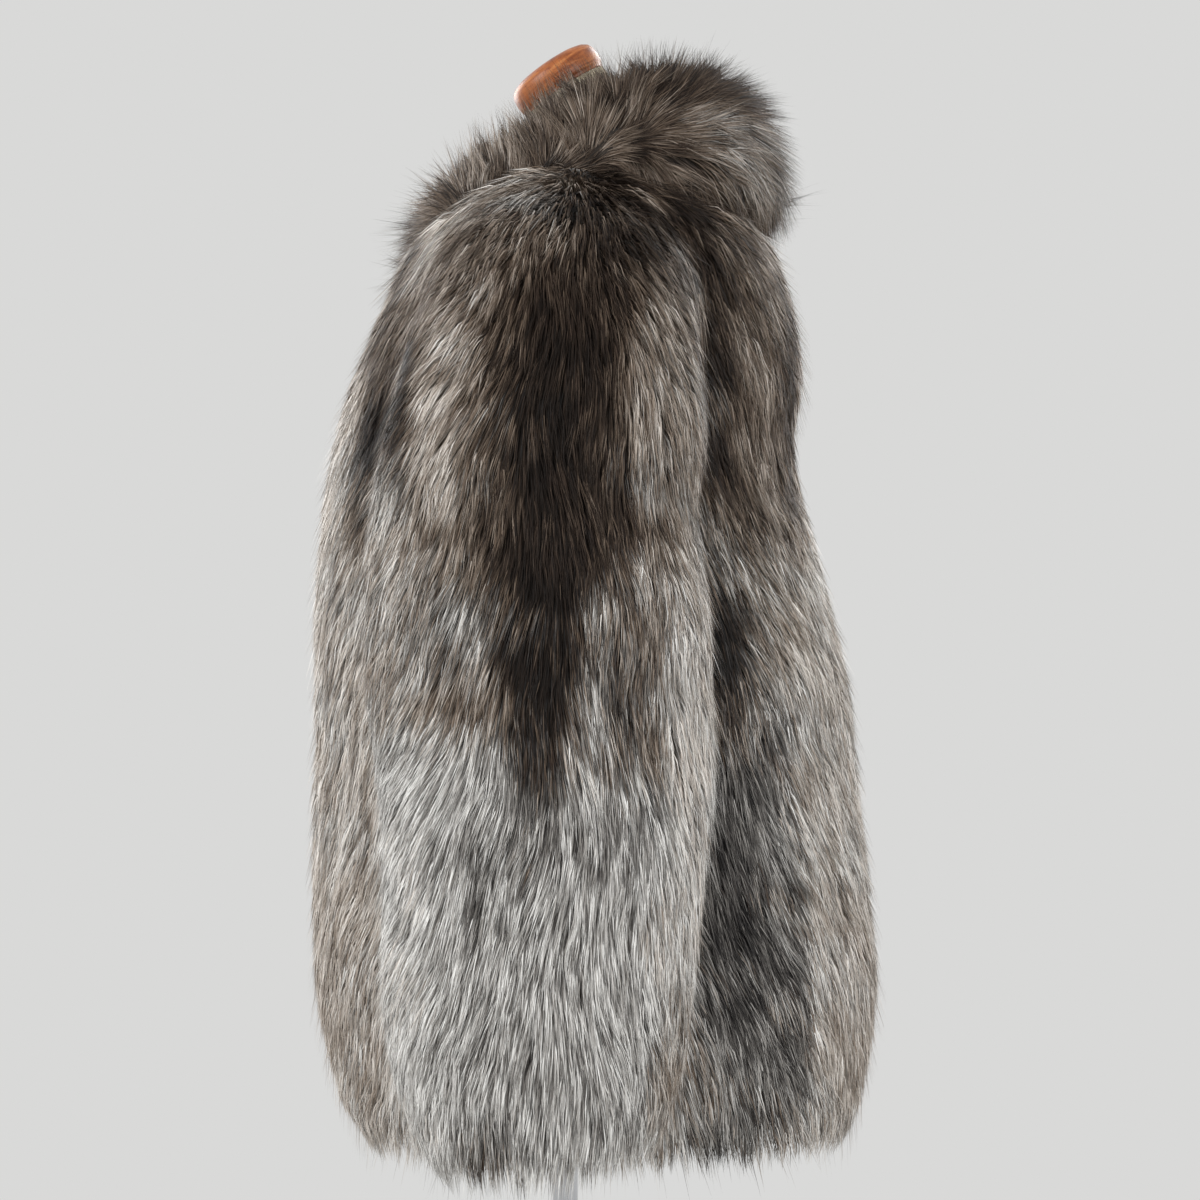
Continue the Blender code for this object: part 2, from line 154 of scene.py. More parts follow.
# Soft troughs in the fur, as (along, height) on the left of a piece and mirrored on its
# right. along is Y on a sleeve's outer half and grows faster on its inner half; on body and
# collar it is degrees from the centre back. lean moves a trough along as it rises.
SLEEVE_MIDDLE_X = 0.262    # where the inner half of a hanging sleeve begins
INNER_PACE = 2.5           # and how fast along grows there, for each metre inwards
TROUGH_COLUMNS = ("along", "height", "half_along", "half_height", "lean", "depth")
SLEEVE_TROUGHS = (
    (0.010, 1.046, 0.110, 0.012, 0.10, 0.0050),    # the elbow's cross fold
    (-0.050, 0.930, 0.060, 0.010, -0.15, 0.0022),
    (0.060, 0.925, 0.050, 0.012, 0.10, 0.0040),
    (-0.078, 0.840, 0.012, 0.150, 0.05, 0.0030),
    (0.052, 0.800, 0.012, 0.100, -0.08, 0.0030),
    (-0.020, 0.700, 0.050, 0.010, 0.10, 0.0025),
)
BODY_TROUGHS = (
    (64, 1.010, 5, 0.200, 0, 0.0050),              # where the back's pelts join
    (0, 0.920, 3, 0.350, 0, 0.0045),
    (30, 1.060, 40, 0.014, 0, 0.0030),
    (48, 0.880, 26, 0.012, 0, 0.0030),
    (22, 0.760, 30, 0.012, 0, 0.0025),
    (132, 1.000, 5, 0.150, 0, 0.0050),
    (158, 0.870, 18, 0.012, 0, 0.0030),
    (180, 0.950, 3, 0.360, 0, 0.0050),             # where the fronts meet
)
COLLAR_TROUGHS = (
    (0, 1.340, 4, 0.060, 0, 0.0050),
    (104, 1.300, 5, 0.050, 0, 0.0040),
)

# The pelts' markings, left side, mirrored on the right, with a few bands of painted shade
# in folds and gaps and under the collar. tone is how pale the hair is, mix how strongly
# pale and dark tufts alternate, warmth the share of brown hair, and strength how fully a marking
# covers what is under it.
MARK_COLUMNS = ("along", "height", "half_along", "half_height", "lean",
                "tone", "mix", "warmth", "strength")
SLEEVE_BASE = {"tone": 0.80, "mix": 0.85, "warmth": 0.10}
SLEEVE_MARKS = (
    (0.000, 1.160, 0.400, 0.110, 0, 0.38, 0.40, 0.85, 0.95),     # browner above the elbow
    (0.000, 0.985, 0.400, 0.075, 0, 0.55, 0.55, 0.60, 0.85),
    (0.000, 0.880, 0.060, 0.080, 0, 0.70, 0.75, 0.35, 0.70),
    (0.030, 1.185, 0.036, 0.045, 0, 0.20, 0.35, 0.80, 0.90),
    (-0.074, 1.130, 0.020, 0.100, 0.05, 0.78, 0.40, 0.75, 0.95), # pale flanks
    (0.068, 1.125, 0.024, 0.085, -0.10, 0.64, 0.45, 0.70, 0.95),
    (-0.044, 1.090, 0.018, 0.120, 0, 0.46, 0.40, 0.70, 0.88),
    (-0.118, 0.995, 0.026, 0.085, 0, 0.74, 0.50, 0.62, 0.82),
    # Dark stripe at the front edge: dark fur, and painted shade of the gap between sleeve and body.
    (-0.109, 1.144, 0.017, 0.048, 0.12, 0.10, 0.35, 0.60, 0.97), # dark stripe at the front edge
    (-0.014, 1.165, 0.030, 0.070, 0, 0.18, 0.30, 0.80, 0.95),    # spine stripe
    (0.006, 1.130, 0.028, 0.085, 0, 0.05, 0.18, 0.80, 1.00),
    (0.030, 1.075, 0.018, 0.065, 0, 0.20, 0.30, 0.80, 0.90),
    (-0.006, 1.060, 0.038, 0.060, 0, 0.05, 0.18, 0.80, 1.00),
    (-0.012, 0.985, 0.028, 0.085, 0, 0.04, 0.18, 0.70, 1.00),
    (-0.018, 0.905, 0.016, 0.046, 0, 0.15, 0.35, 0.50, 0.93),
    (-0.018, 0.845, 0.018, 0.036, 0, 0.52, 0.60, 0.30, 0.75),
    # This row and the next: cross band along the elbow's fold, brown fur and painted shade of the
    # fold.
    (0.040, 1.050, 0.052, 0.012, 0, 0.27, 0.30, 0.90, 0.75),     # cross band
    (-0.056, 1.044, 0.036, 0.013, 0, 0.26, 0.40, 0.85, 0.78),
    (0.036, 0.950, 0.014, 0.060, 0, 0.38, 0.50, 0.50, 0.85),
    (0.060, 0.930, 0.012, 0.060, 0, 0.46, 0.50, 0.70, 0.80),     # reddish patches
    (-0.066, 0.928, 0.028, 0.013, 0, 0.42, 0.40, 0.90, 0.80),
    (0.085, 0.910, 0.018, 0.120, 0, 0.95, 0.40, 0.60, 0.92),
    # Dark over the shoulder: dark brown fur, and painted shade under the collar.
    (0.042, 1.262, 0.046, 0.046, 0, 0.13, 0.28, 0.90, 0.97),     # dark over the shoulder
    (-0.064, 1.228, 0.044, 0.032, 0.3, 0.48, 0.35, 0.95, 0.95),
    (-0.034, 1.290, 0.056, 0.024, 0, 0.60, 0.25, 1.00, 0.95),    # smooth brown where the hair turns
    (-0.074, 0.895, 0.022, 0.030, 0, 0.88, 0.60, 0.40, 0.75),
    (-0.048, 0.815, 0.012, 0.055, 0, 0.54, 0.80, 0.10, 0.75),
    (-0.100, 0.740, 0.024, 0.170, 0, 0.97, 0.45, 0.35, 0.88),    # pale front edge
    (0.080, 0.780, 0.024, 0.070, 0, 0.93, 0.45, 0.50, 0.85),
    (0.078, 0.680, 0.022, 0.060, 0, 0.66, 0.40, 0.85, 0.80),
    (-0.046, 0.636, 0.026, 0.024, 0, 0.46, 0.70, 0.40, 0.80),
)
BODY_BASE = {"tone": 0.80, "mix": 0.65, "warmth": 0.58}
BODY_MARKS = (
    (40, 1.150, 36, 0.120, 0, 0.42, 0.42, 0.85, 0.95),           # browner across the shoulders
    # Dark band under the collar's back: dark brown fur, and painted shade under the collar.
    (72, 1.258, 32, 0.046, 0, 0.13, 0.30, 0.85, 0.97),
    (60, 1.150, 9, 0.088, 0, 0.07, 0.28, 0.70, 1.00),            # spine by the sleeve
    (62, 1.048, 8, 0.030, 0, 0.56, 0.50, 0.50, 0.90),
    (60, 0.963, 9, 0.058, 0, 0.07, 0.30, 0.50, 1.00),
    (61, 0.840, 11, 0.080, 0, 0.34, 0.60, 0.20, 0.95),
    (59, 0.760, 11, 0.060, 0, 0.24, 0.55, 0.20, 0.95),
    (58, 0.650, 12, 0.070, 0, 0.44, 0.65, 0.25, 0.92),
    (50, 1.060, 6, 0.036, 0, 0.24, 0.42, 0.70, 0.88),
    (50, 0.965, 5, 0.030, 0, 0.56, 0.55, 0.50, 0.85),
    (49, 0.890, 7, 0.045, 0, 0.42, 0.60, 0.30, 0.88),
    (48, 0.780, 6, 0.070, 0, 0.44, 0.65, 0.20, 0.90),
    (47, 0.680, 6, 0.055, 0, 0.44, 0.65, 0.30, 0.88),
    (34, 1.110, 6, 0.090, 0, 0.46, 0.42, 0.70, 0.85),
    (26, 1.160, 8, 0.100, 0, 0.22, 0.32, 1.00, 0.92),            # chestnut down the back
    (24, 0.690, 14, 0.070, 0, 0.78, 0.50, 0.75, 0.80),
    (0, 0.900, 6, 0.330, 0, 0.40, 0.50, 0.60, 0.70),             # centre back, where two pelts meet
    (40, 0.600, 70, 0.018, 0, 0.52, 0.55, 0.50, 0.60),
    (150, 0.860, 44, 0.330, 0, 0.83, 0.50, 0.63, 0.95),          # fronts
    # Dark stripe by the sleeve: dark fur, and painted shade of the gap between body and sleeve.
    (137, 1.170, 8, 0.122, 0, 0.10, 0.35, 0.50, 0.98),           # dark stripe by the sleeve
    (148, 0.940, 5, 0.170, 0, 0.62, 0.50, 0.50, 0.60),
    # A soft line of painted shade along the sleeve's front edge.
    (132, 0.780, 3, 0.230, 0, 0.66, 0.50, 0.72, 0.50),
    (150, 1.200, 40, 0.050, 0, 0.44, 0.40, 0.90, 0.90),
    (160, 0.720, 24, 0.090, 0, 0.72, 0.40, 0.85, 0.70),
    # Darker where the fronts meet: painted shade in the gap between them.
    (180, 0.920, 4, 0.340, 0, 0.36, 0.45, 0.60, 0.75),
)
COLLAR_BASE = {"tone": 0.34, "mix": 0.50, "warmth": 0.80}
COLLAR_MARKS = (
    (36, 1.322, 22, 0.026, 0, 0.50, 0.70, 0.55, 0.90),           # silvery middle
    (12, 1.326, 16, 0.036, 0, 0.60, 0.60, 0.50, 0.90),
    (84, 1.322, 18, 0.014, 0, 0.24, 0.60, 0.75, 0.85),
    (74, 1.308, 14, 0.012, 0, 0.26, 0.35, 0.90, 0.85),           # dark where it parts
    (50, 1.272, 80, 0.016, 0, 0.12, 0.30, 0.80, 0.92),
    (122, 1.290, 22, 0.034, 0, 0.40, 0.75, 0.70, 0.85),
    (60, 1.364, 76, 0.024, 0, 0.14, 0.30, 0.90, 0.95),           # dark rim
)
MARKINGS = {
    "sleeve": (SLEEVE_BASE, SLEEVE_MARKS),
    "body": (BODY_BASE, BODY_MARKS),
    "collar": (COLLAR_BASE, COLLAR_MARKS),
}

# Guard hair of each piece. tris is how many triangles it takes; tuft is the spacing of the
# tufts that the tips gather in; lift is how far the tips stand off the reach of the fur, and
# free how far they leave a curved face for a straight line; turn is the tufts' disorder in
# radians, and stray the share of loose hairs. A real guard hair is 0.1 mm thick: each strand
# stands for a few that lie together, 0.6 to 0.9 mm wide on average.
HAIR_COLUMNS = (
    "piece", "tris", "length", "width", "tuft", "gather", "lift", "free", "turn", "stray")
HAIR = (
    ("sleeve_left", 196000, 0.034, 0.00062, 0.0048, 0.55, 0.0020, 0.12, 0.06, 0.04),
    ("sleeve_right", 136000, 0.038, 0.00088, 0.0056, 0.55, 0.0020, 0.12, 0.06, 0.04),
    ("back", 256000, 0.036, 0.00078, 0.0052, 0.55, 0.0020, 0.12, 0.06, 0.04),
    ("front_left", 98000, 0.038, 0.00082, 0.0054, 0.55, 0.0020, 0.12, 0.06, 0.04),
    ("front_right", 98000, 0.038, 0.00082, 0.0054, 0.55, 0.0020, 0.12, 0.06, 0.04),
    ("collar", 160000, 0.037, 0.00072, 0.0080, 0.75, 0.0050, 0.60, 0.30, 0.15),
)
CURVED_SHARE = 0.34        # share of a piece's strands that bend, at three triangles each
MOST_TRIS = 200000         # a piece's hair with more than this is made in two halves


# ---- small helpers -----------------------------------------------------------------------
def linear(code, alpha=1.0):
    """A shader colour from an sRGB hex code such as #8a6f5c."""
    parts = [int(code[i:i + 2], 16) / 255 for i in (1, 3, 5)]
    return (*[p / 12.92 if p <= 0.04045 else ((p + 0.055) / 1.055) ** 2.4 for p in parts], alpha)


def rows(columns, table):
    """A table's rows, each with its values under the names of the columns."""
    return [dict(zip(columns, values)) for values in table]


def row_at(table, key, value):
    """The table's row at a value of one rising column, blended between its neighbours."""
    for first, second in zip(table, table[1:]):
        if value <= second[key]:
            share = max((value - first[key]) / (second[key] - first[key]), 0.0)
            return {name: first[name] + (second[name] - first[name]) * share for name in first}
    return dict(table[-1])


def rounded(value, power):
    """One coordinate of a superellipse, from a sine or cosine."""
    return np.sign(value) * np.abs(value) ** (2.0 / power)


def unit(vectors):
    """The vectors at length 1."""
    length = np.linalg.norm(vectors, axis=-1, keepdims=True)
    return vectors / np.maximum(length, 1e-9)


def dots(first, second):
    """The dot product of each pair of vectors."""
    return (first * second).sum(axis=-1, keepdims=True)


def smooth_step(value, low, high):
    """0 up to low, 1 from high on, and a soft step between."""
    share = np.clip((value - low) / (high - low), 0, 1)
    return share * share * (3 - 2 * share)


def swell(points, grain, seed):
    """Smooth seeded noise from -1 to 1 at points; grain is its size in metres."""
    draw = np.random.default_rng(seed)
    total = np.zeros(points.shape[:-1])
    for _ in range(7):
        wave = unit(draw.normal(size=3)) / grain * draw.uniform(0.6, 1.5) * 2 * pi / 2.4
        total += np.sin(points @ wave + draw.uniform(0, 2 * pi))
    return np.clip(total / 3.2, -1, 1)


# ---- the panels' outer faces as dense grids ----------------------------------------------
def turns(count):
    """Evenly spaced angles round a section."""
    return 2 * pi * np.arange(count) / count


def body_rings(count):
    """Sections of the body, neck to hem; the turn runs from +X through +Y (back)."""
    across, along = np.cos(turns(count)), np.sin(turns(count))
    rings = []
    for row in rows(BODY_COLUMNS, BODY_SECTIONS)[::-1]:
        depth = np.where(along > 0, row["depth_back"], row["depth_front"])
        middle = np.where(along > 0, row["back"], row["front"])
        x = row["half_width"] * rounded(across, row["power"])
        y = depth * rounded(along, row["power"])
        z = row["side"] * (1 - along ** 2) + middle * along ** 2
        rings.append(np.stack((x, y, z), axis=-1))
    return np.array(rings)


def sleeve_rings(count, side):
    """Sections of a sleeve, armhole to cuff; the turn starts away from the body."""
    away, along = np.cos(turns(count)), np.sin(turns(count))
    sections = []
    for row in rows(TURN_COLUMNS, TURN_SECTIONS):
        lift = radians(row["lift"])
        sections.append((row, (ARMHOLE_X, ARMPIT_Z), (cos(lift), sin(lift))))
    for row in rows(HANG_COLUMNS, HANG_SECTIONS):
        sections.append((row, (0.0, row["height"]), (1.0, 0.0)))
    rings = []
    for row, start, out in sections:
        shape = np.where(away > 0, rounded(away, row["power"]), rounded(away, row["near_power"]))
        reach = (row["near"] + row["far"]) / 2 + (row["far"] - row["near"]) / 2 * shape
        depth = np.where(along > 0, row["back"], row["front"])
        x = (start[0] + out[0] * reach) * side
        z = start[1] + out[1] * reach
        rings.append(np.stack((x, depth * rounded(along, row["power"]), z), axis=-1))
    return np.array(rings)


def collar_rings(count):
    """Sections of the collar's roll, right front edge round the back to the left one."""
    table = rows(COLLAR_COLUMNS, COLLAR_SECTIONS)
    around, up = np.cos(turns(count)), np.sin(turns(count))
    rings = []
    for turn in np.linspace(-COLLAR_FRONT_TURN, COLLAR_FRONT_TURN, COLLAR_STEPS):
        row = row_at(table, "turn", abs(turn))
        reach = row["reach"] + row["half_out"] * rounded(around, COLLAR_POWER)
        reach = reach - row["lean"] * rounded(up, COLLAR_POWER)
        x = reach * sin(radians(turn))
        y = COLLAR_AXIS_Y + reach * cos(radians(turn))
        z = row["middle"] + row["half_up"] * rounded(up, COLLAR_POWER)
        rings.append(np.stack((x, y, z), axis=-1))
    return np.array(rings)


def smoothed(rings, count):
    """Rings resampled along the piece, evenly, on smooth curves through every section."""
    step = np.linalg.norm(np.diff(rings, axis=0), axis=-1).mean(axis=1)
    place = np.concatenate(([0.0], np.cumsum(step)))
    slope = np.gradient(rings, place, axis=0)
    at = np.linspace(0, place[-1], count)
    k = np.clip(np.searchsorted(place, at, side="right") - 1, 0, len(place) - 2)
    gap = (place[k + 1] - place[k])[:, None, None]
    t = ((at - place[k]) / (place[k + 1] - place[k]))[:, None, None]
    return ((2 * t ** 3 - 3 * t ** 2 + 1) * rings[k] + (t ** 3 - 2 * t ** 2 + t) * gap * slope[k]
            + (3 * t ** 2 - 2 * t ** 3) * rings[k + 1] + (t ** 3 - t ** 2) * gap * slope[k + 1])


def even_round(rings):
    """Rings resampled evenly round the piece, so that no stretch of a grid is sparse."""
    count = rings.shape[1]
    closed = np.concatenate((rings, rings[:, :1]), axis=1)
    step = np.linalg.norm(np.diff(closed, axis=1), axis=-1).mean(axis=0)
    place = np.concatenate(([0.0], np.cumsum(step)))
    at = np.linspace(0, place[-1], count, endpoint=False)
    k = np.clip(np.searchsorted(place, at, side="right") - 1, 0, count - 1)
    t = ((at - place[k]) / (place[k + 1] - place[k]))[None, :, None]
    return closed[:, k] * (1 - t) + closed[:, k + 1] * t


def surface_of(rings, down):
    """A face as a grid: points, outward normals, and its rate of change each way."""
    points = even_round(smoothed(rings, down))
    around = points.shape[1]
    du = (np.roll(points, -1, axis=1) - np.roll(points, 1, axis=1)) / 2 * around
    dv = np.gradient(points, axis=0) * (down - 1)
    normals = unit(np.cross(du, dv))
    middle = points.mean(axis=1, keepdims=True)
    if (normals * (points - middle)).sum() < 0:
        normals = -normals
    return {"points": points, "normals": normals, "du": du, "dv": dv}


def look_up(grid, u, v):
    """The grid's value at shares u round and v down it, blended between its points."""
    down, around = grid.shape[:2]
    row = np.clip(v, 0, 1) * (down - 1)
    column = (u % 1.0) * around
    i = np.minimum(row.astype(int), down - 2)
    j = column.astype(int) % around
    a = (row - i)[:, None]
    b = (column - np.floor(column))[:, None]
    right = (j + 1) % around
    return ((grid[i, j] * (1 - b) + grid[i, right] * b) * (1 - a)
            + (grid[i + 1, j] * (1 - b) + grid[i + 1, right] * b) * a)


def along_of(kind, points):
    """How far along its piece a point lies, as the marks and troughs state it."""
    if kind == "sleeve":
        height, y = points[..., 2], points[..., 1]
        middle = SLEEVE_MIDDLE_X - 0.5 * np.maximum(height - 1.08, 0)
        return y + np.sign(y) * INNER_PACE * np.maximum(middle - np.abs(points[..., 0]), 0)
    axis = COLLAR_AXIS_Y if kind == "collar" else 0.0
    return np.degrees(np.arctan2(np.abs(points[..., 0]), points[..., 1] - axis))


def bump(row, along, height):
    """1 in the middle of a trough, falling softly all the way out."""
    shifted = along - row["along"] - row["lean"] * (height - row["height"])
    return np.exp(-(shifted / row["half_along"]) ** 2
                  - ((height - row["height"]) / row["half_height"]) ** 2)


def patch(row, along, height):
    """1 over most of a marking, falling softly to 0 past its half sizes."""
    shifted = along - row["along"] - row["lean"] * (height - row["height"])
    far = (shifted / row["half_along"]) ** 2 + ((height - row["height"]) / row["half_height"]) ** 2
    return np.exp(-far ** 2)


def press_in(surface, kind, troughs):
    """Moves the face inwards along its troughs."""
    points = surface["points"]
    along, height = along_of(kind, points), points[..., 2]
    depth = np.zeros(points.shape[:2])
    for row in rows(TROUGH_COLUMNS, troughs):
        depth += row["depth"] * bump(row, along, height)
    surface["points"] = points - surface["normals"] * depth[..., None]
    return surface


def pressed_share(kind, points):
    """1 where sleeve and body lie against each other, 0 where the fur is free."""
    x, height = np.abs(points[..., 0]), points[..., 2]
    if kind == "sleeve":
        facing = smooth_step(0.250 - x, 0.0, 0.030)
        return facing * smooth_step(ARMPIT_Z + 0.03 - height, 0, 0.03)
    if kind == "body":
        beside = smooth_step(x, 0.168, 0.188) * smooth_step(0.100 - np.abs(points[..., 1]), 0, 0.03)
        return beside * smooth_step(1.25 - height, 0, 0.03) * smooth_step(height, 0.64, 0.70)
    return np.zeros(points.shape[:-1])


def hidden_share(kind, points, normals):
    """How much of the hair at a point nobody sees, so that it can be sparse there."""
    x, y, height = np.abs(points[..., 0]), points[..., 1], points[..., 2]
    if kind == "sleeve":
        return 0.75 * pressed_share(kind, points)
    if kind == "body":
        under_collar = smooth_step(height, 1.262, 1.275) * smooth_step(0.150 - x, 0, 0.02)
        return np.clip(0.85 * pressed_share(kind, points) + 0.7 * under_collar, 0, 0.9)
    outward = normals[..., 0] * points[..., 0] + normals[..., 1] * (y - COLLAR_AXIS_Y)
    radius = np.hypot(points[..., 0], y - COLLAR_AXIS_Y)
    inside = smooth_step(-outward / radius, 0.1, 0.7)
    below = smooth_step(-normals[..., 2], 0.5, 0.9)
    return np.clip(0.6 * inside + 0.8 * below, 0, 0.85)


def in_armhole(points):
    """True inside the hole that the sleeve is set into."""
    x, height = np.abs(points[..., 0]), points[..., 2]
    drop = np.hypot(np.maximum(x - ARMHOLE_X, 0), height - ARMPIT_Z)
    return (x > ARMHOLE_X - 0.001) & (height > ARMPIT_Z) & (drop > SLEEVE_ARMPIT_R + UNDERARM_LAP)


def under_collar_seat(points):
    """True where the collar's roll would sink into the shoulders."""
    radius, top = COLLAR_SEAT
    return (points[..., 2] < top) & (np.hypot(points[..., 0], points[..., 1]) < radius)


# ---- pelts -------------------------------------------------------------------------------
PIECE_SIDES = {
    "back": lambda points: points[..., 1] > SEAM_HALF,
    "front_left": lambda points: (points[..., 1] < -SEAM_HALF) & (points[..., 0] > SEAM_HALF),
    "front_right": lambda points: (points[..., 1] < -SEAM_HALF) & (points[..., 0] < -SEAM_HALF),
}


def pelt_mesh(name, kind, surface, belongs):
    """The pelt's outer face: a coarse grid inside the hair's reach, where the piece belongs."""
    around, down = GRIDS[kind][2:]
    v = np.repeat(np.linspace(0, 1, down), around)
    u = np.tile(np.arange(around) / around, down)
    outer = look_up(surface["points"], u, v)
    normals = unit(look_up(surface["normals"], u, v))
    pressed = pressed_share(kind, outer)
    depth = FUR_DEPTH + (PRESSED_DEPTH - FUR_DEPTH) * pressed
    depth = depth * (1 - 0.85 * near_whorl(kind, outer)) + 0.0012 * swell(outer, 0.030, SEED + 1)
    points = outer - normals * depth[:, None]
    made = bmesh.new()
    corners = [made.verts.new(point) for point in points]
    for k in range(down - 1):
        for i in range(around):
            j = (i + 1) % around
            ids = [k * around + i, k * around + j, (k + 1) * around + j, (k + 1) * around + i]
            middle = outer[ids].mean(axis=0)
            if belongs(middle):
                made.faces.new([corners[n] for n in ids])
    kept = np.array([bool(corner.link_faces) for corner in corners])
    loose = [corner for corner in made.verts if not corner.link_faces]
    bmesh.ops.delete(made, geom=loose, context="VERTS")
    mesh = bpy.data.meshes.new(name)
    made.to_mesh(mesh)
    made.free()
    return mesh, outer[kept], pressed[kept]


def make_pelt(name, kind, surface, belongs):
    """The pelt as a piece of its own, thinner where it is pressed."""
    mesh, outer, pressed = pelt_mesh(name, kind, surface, belongs)
    pelt = bpy.data.objects.new(name + "_pelt", mesh)
    bpy.context.scene.collection.objects.link(pelt)
    group = pelt.vertex_groups.new(name="underfur")
    least = PRESSED_THICK / PELT_THICK
    for index, share in enumerate(pressed):
        group.add([index], 1.0 + (least - 1.0) * float(share), "REPLACE")
    tones = mesh.attributes.new("fur_tone", "FLOAT", "POINT")
    tones.data.foreach_set("value", marked(kind, outer)["tone"].astype(np.float32))
    outwards(pelt, surface)
    wall = pelt.modifiers.new("wall", "SOLIDIFY")
    wall.thickness = PELT_THICK
    wall.offset = -1.0
    wall.vertex_group = group.name
    mesh.shade_smooth()
    mesh.materials.append(material("fox_underfur"))
    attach(pelt, "root")
    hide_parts(name)
    return pelt


def outwards(pelt, surface):
    """Turns the pelt's faces to look the way the fur stands."""
    made = bmesh.new()
    made.from_mesh(pelt.data)
    bmesh.ops.recalc_face_normals(made, faces=made.faces)
    grid = surface["points"].reshape(-1, 3)
    lean = 0.0
    for face in list(made.faces)[::17]:               # a sample of the faces is enough
        place = np.array(face.calc_center_median())
        nearest = np.argmin(((grid - place) ** 2).sum(axis=1))
        lean += float(np.dot(surface["normals"].reshape(-1, 3)[nearest], face.normal))
    if lean < 0:
        bmesh.ops.reverse_faces(made, faces=made.faces)
    made.to_mesh(pelt.data)
    made.free()


# ---- guard hair --------------------------------------------------------------------------
def on_left(points):
    """The points mirrored to the wearer's left, and what mirrors them back."""
    mirror = np.ones_like(points)
    mirror[..., 0] = np.where(points[..., 0] > 0, 1.0, -1.0)
    return points * mirror, mirror


def from_whorl(points):
    """The step from the shoulder's whorl to each point."""
    left, mirror = on_left(points)
    return (left - np.array(SHOULDER_WHORL)) * mirror


def from_parting(points):
    """The step from the nearest place on the collar's parting to each point."""
    left, mirror = on_left(points)
    start, end = (np.array(place) for place in COLLAR_PARTING)
    share = np.clip(dots(left - start, end - start) / dots(end - start, end - start), 0, 1)
    return (left - start - share * (end - start)) * mirror


def softened(step):
    """The step's direction, fading to nothing at a whorl, so that the hair does not form a star."""
    return step / (np.linalg.norm(step, axis=-1, keepdims=True) + WHORL_CORE)


def near_whorl(kind, points):
    """1 at a whorl or parting, where the hair stands and turns, falling to 0 round it."""
    step = from_parting(points) if kind == "collar" else from_whorl(points)
    return np.exp(-((step / WHORL_RADIUS) ** 2).sum(axis=-1))


def combed(kind, points, normals):
    """The way the hair is combed at each point, along the face.

    It leaves the whorl or parting on all sides, then turns down and fans out a little to
    the front and back. The collar's falls over behind. A slow sway and a quick one ruffle it.
    """
    side = np.sign(points[:, :1])
    down = np.tile(np.array((0.0, 0.0, -1.0)), (len(points), 1))
    height = points[:, 2:3]
    if kind == "collar":
        away = from_parting(points)
        away[:, 0] *= smooth_step(np.abs(points[:, 0]), 0.0, 0.060)
        falling = smooth_step(points[:, 1:2], 0.05, 0.13) * smooth_step(1.365 - height, 0.0, 0.03)
        standing_up = near_whorl(kind, points)[:, None]
        way = softened(away) + down * (0.06 + 0.9 * falling - 0.5 * standing_up)
    elif kind == "sleeve":
        away = softened(from_whorl(points))
        near = 1 - smooth_step(WHORL_DROP - height, 0.02, 0.22)
        fan = 0.9 + np.where(points[:, 1:2] < 0, 4.6, 1.2) * (1 - near)
        spread = np.concatenate((side * 0.05, points[:, 1:2] * fan, 0 * height), axis=1)
        way = away * (0.25 + near) + down * (1.0 - 0.6 * near) + spread
    else:
        away = softened(from_whorl(points))
        near = 1 - smooth_step(WHORL_DROP - height, 0.02, 0.14)
        fan = 0.5 + np.where(points[:, 1:2] < 0, 3.0, 2.0) * (1 - near)
        spread = np.concatenate((points[:, :1] * 0.3, points[:, 1:2] * fan, 0 * height), axis=1)
        way = away * near * 0.8 + down + spread
    sway = unit(np.cross(normals, unit(way)))
    loose = (2.2 if kind == "collar" else 1.0) + 2.5 * near_whorl(kind, points)
    way = unit(way) + sway * (loose * (0.16 * swell(points, 0.050, SEED + 2)
                                       + 0.12 * swell(points, 0.016, SEED + 3)))[:, None]
    return unit(way - normals * dots(way, normals))


def marked(kind, points):
    """tone, mix and warmth of the fur at each point, from the base and the marks."""
    base, marks = MARKINGS[kind]
    along, height = along_of(kind, points), points[:, 2]
    found = {key: np.full(len(points), value) for key, value in base.items()}
    ragged = 0.35 * swell(points, 0.020, SEED + 4)
    for row in rows(MARK_COLUMNS, marks):
        share = row["strength"] * patch(row, along, height)
        share = np.clip(share * (1 + ragged), 0, 1)
        for key in found:
            found[key] = found[key] + (row[key] - found[key]) * share
    return found


def tufts(surface, u, v, spacing, draw):
    """For each root, the way to the middle of its tuft and the tuft's number."""
    length = np.linalg.norm(surface["dv"], axis=-1).mean()
    girth = np.linalg.norm(surface["du"], axis=-1).mean()
    down, around = max(int(length / spacing), 2), max(int(girth / spacing), 3)
    offset = draw.uniform(0.1, 0.9, size=(down + 2, around, 2))
    row, column = np.floor(v * down).astype(int), np.floor(u * around).astype(int)
    best = np.full(len(u), 1e9)
    to_u, to_v, number = np.zeros(len(u)), np.zeros(len(u)), np.zeros(len(u), int)
    for i in (-1, 0, 1):
        for j in (-1, 0, 1):
            r, c = np.clip(row + i, 0, down), (column + j) % around
            du = (column + j + offset[r, c, 0]) / around - u
            dv = (r + offset[r, c, 1]) / down - v
            far = (du * girth) ** 2 + (dv * length * 0.6) ** 2
            closer = far < best
            best = np.where(closer, far, best)
            to_u = np.where(closer, du, to_u)
            to_v = np.where(closer, dv, to_v)
            number = np.where(closer, r * around + c, number)
    return to_u, to_v, number, (down + 1) * around


def scatter(surface, kind, count, belongs, draw):
    """Roots spread over the face by area, sparse where hidden, only where they belong."""
    points, normals = surface["points"], surface["normals"]
    middle = (points[:-1] + points[1:]) / 2
    area = np.linalg.norm(np.cross(surface["du"][:-1], surface["dv"][:-1]), axis=-1)
    weight = area * (1 - hidden_share(kind, middle, normals[:-1])) * belongs(middle)
    cells = np.cumsum(weight.ravel())
    picked = np.searchsorted(cells, draw.random(count) * cells[-1])
    down, around = weight.shape
    v = (picked // around + draw.random(count)) / down
    u = (picked % around + draw.random(count)) / around
    return u % 1.0, v


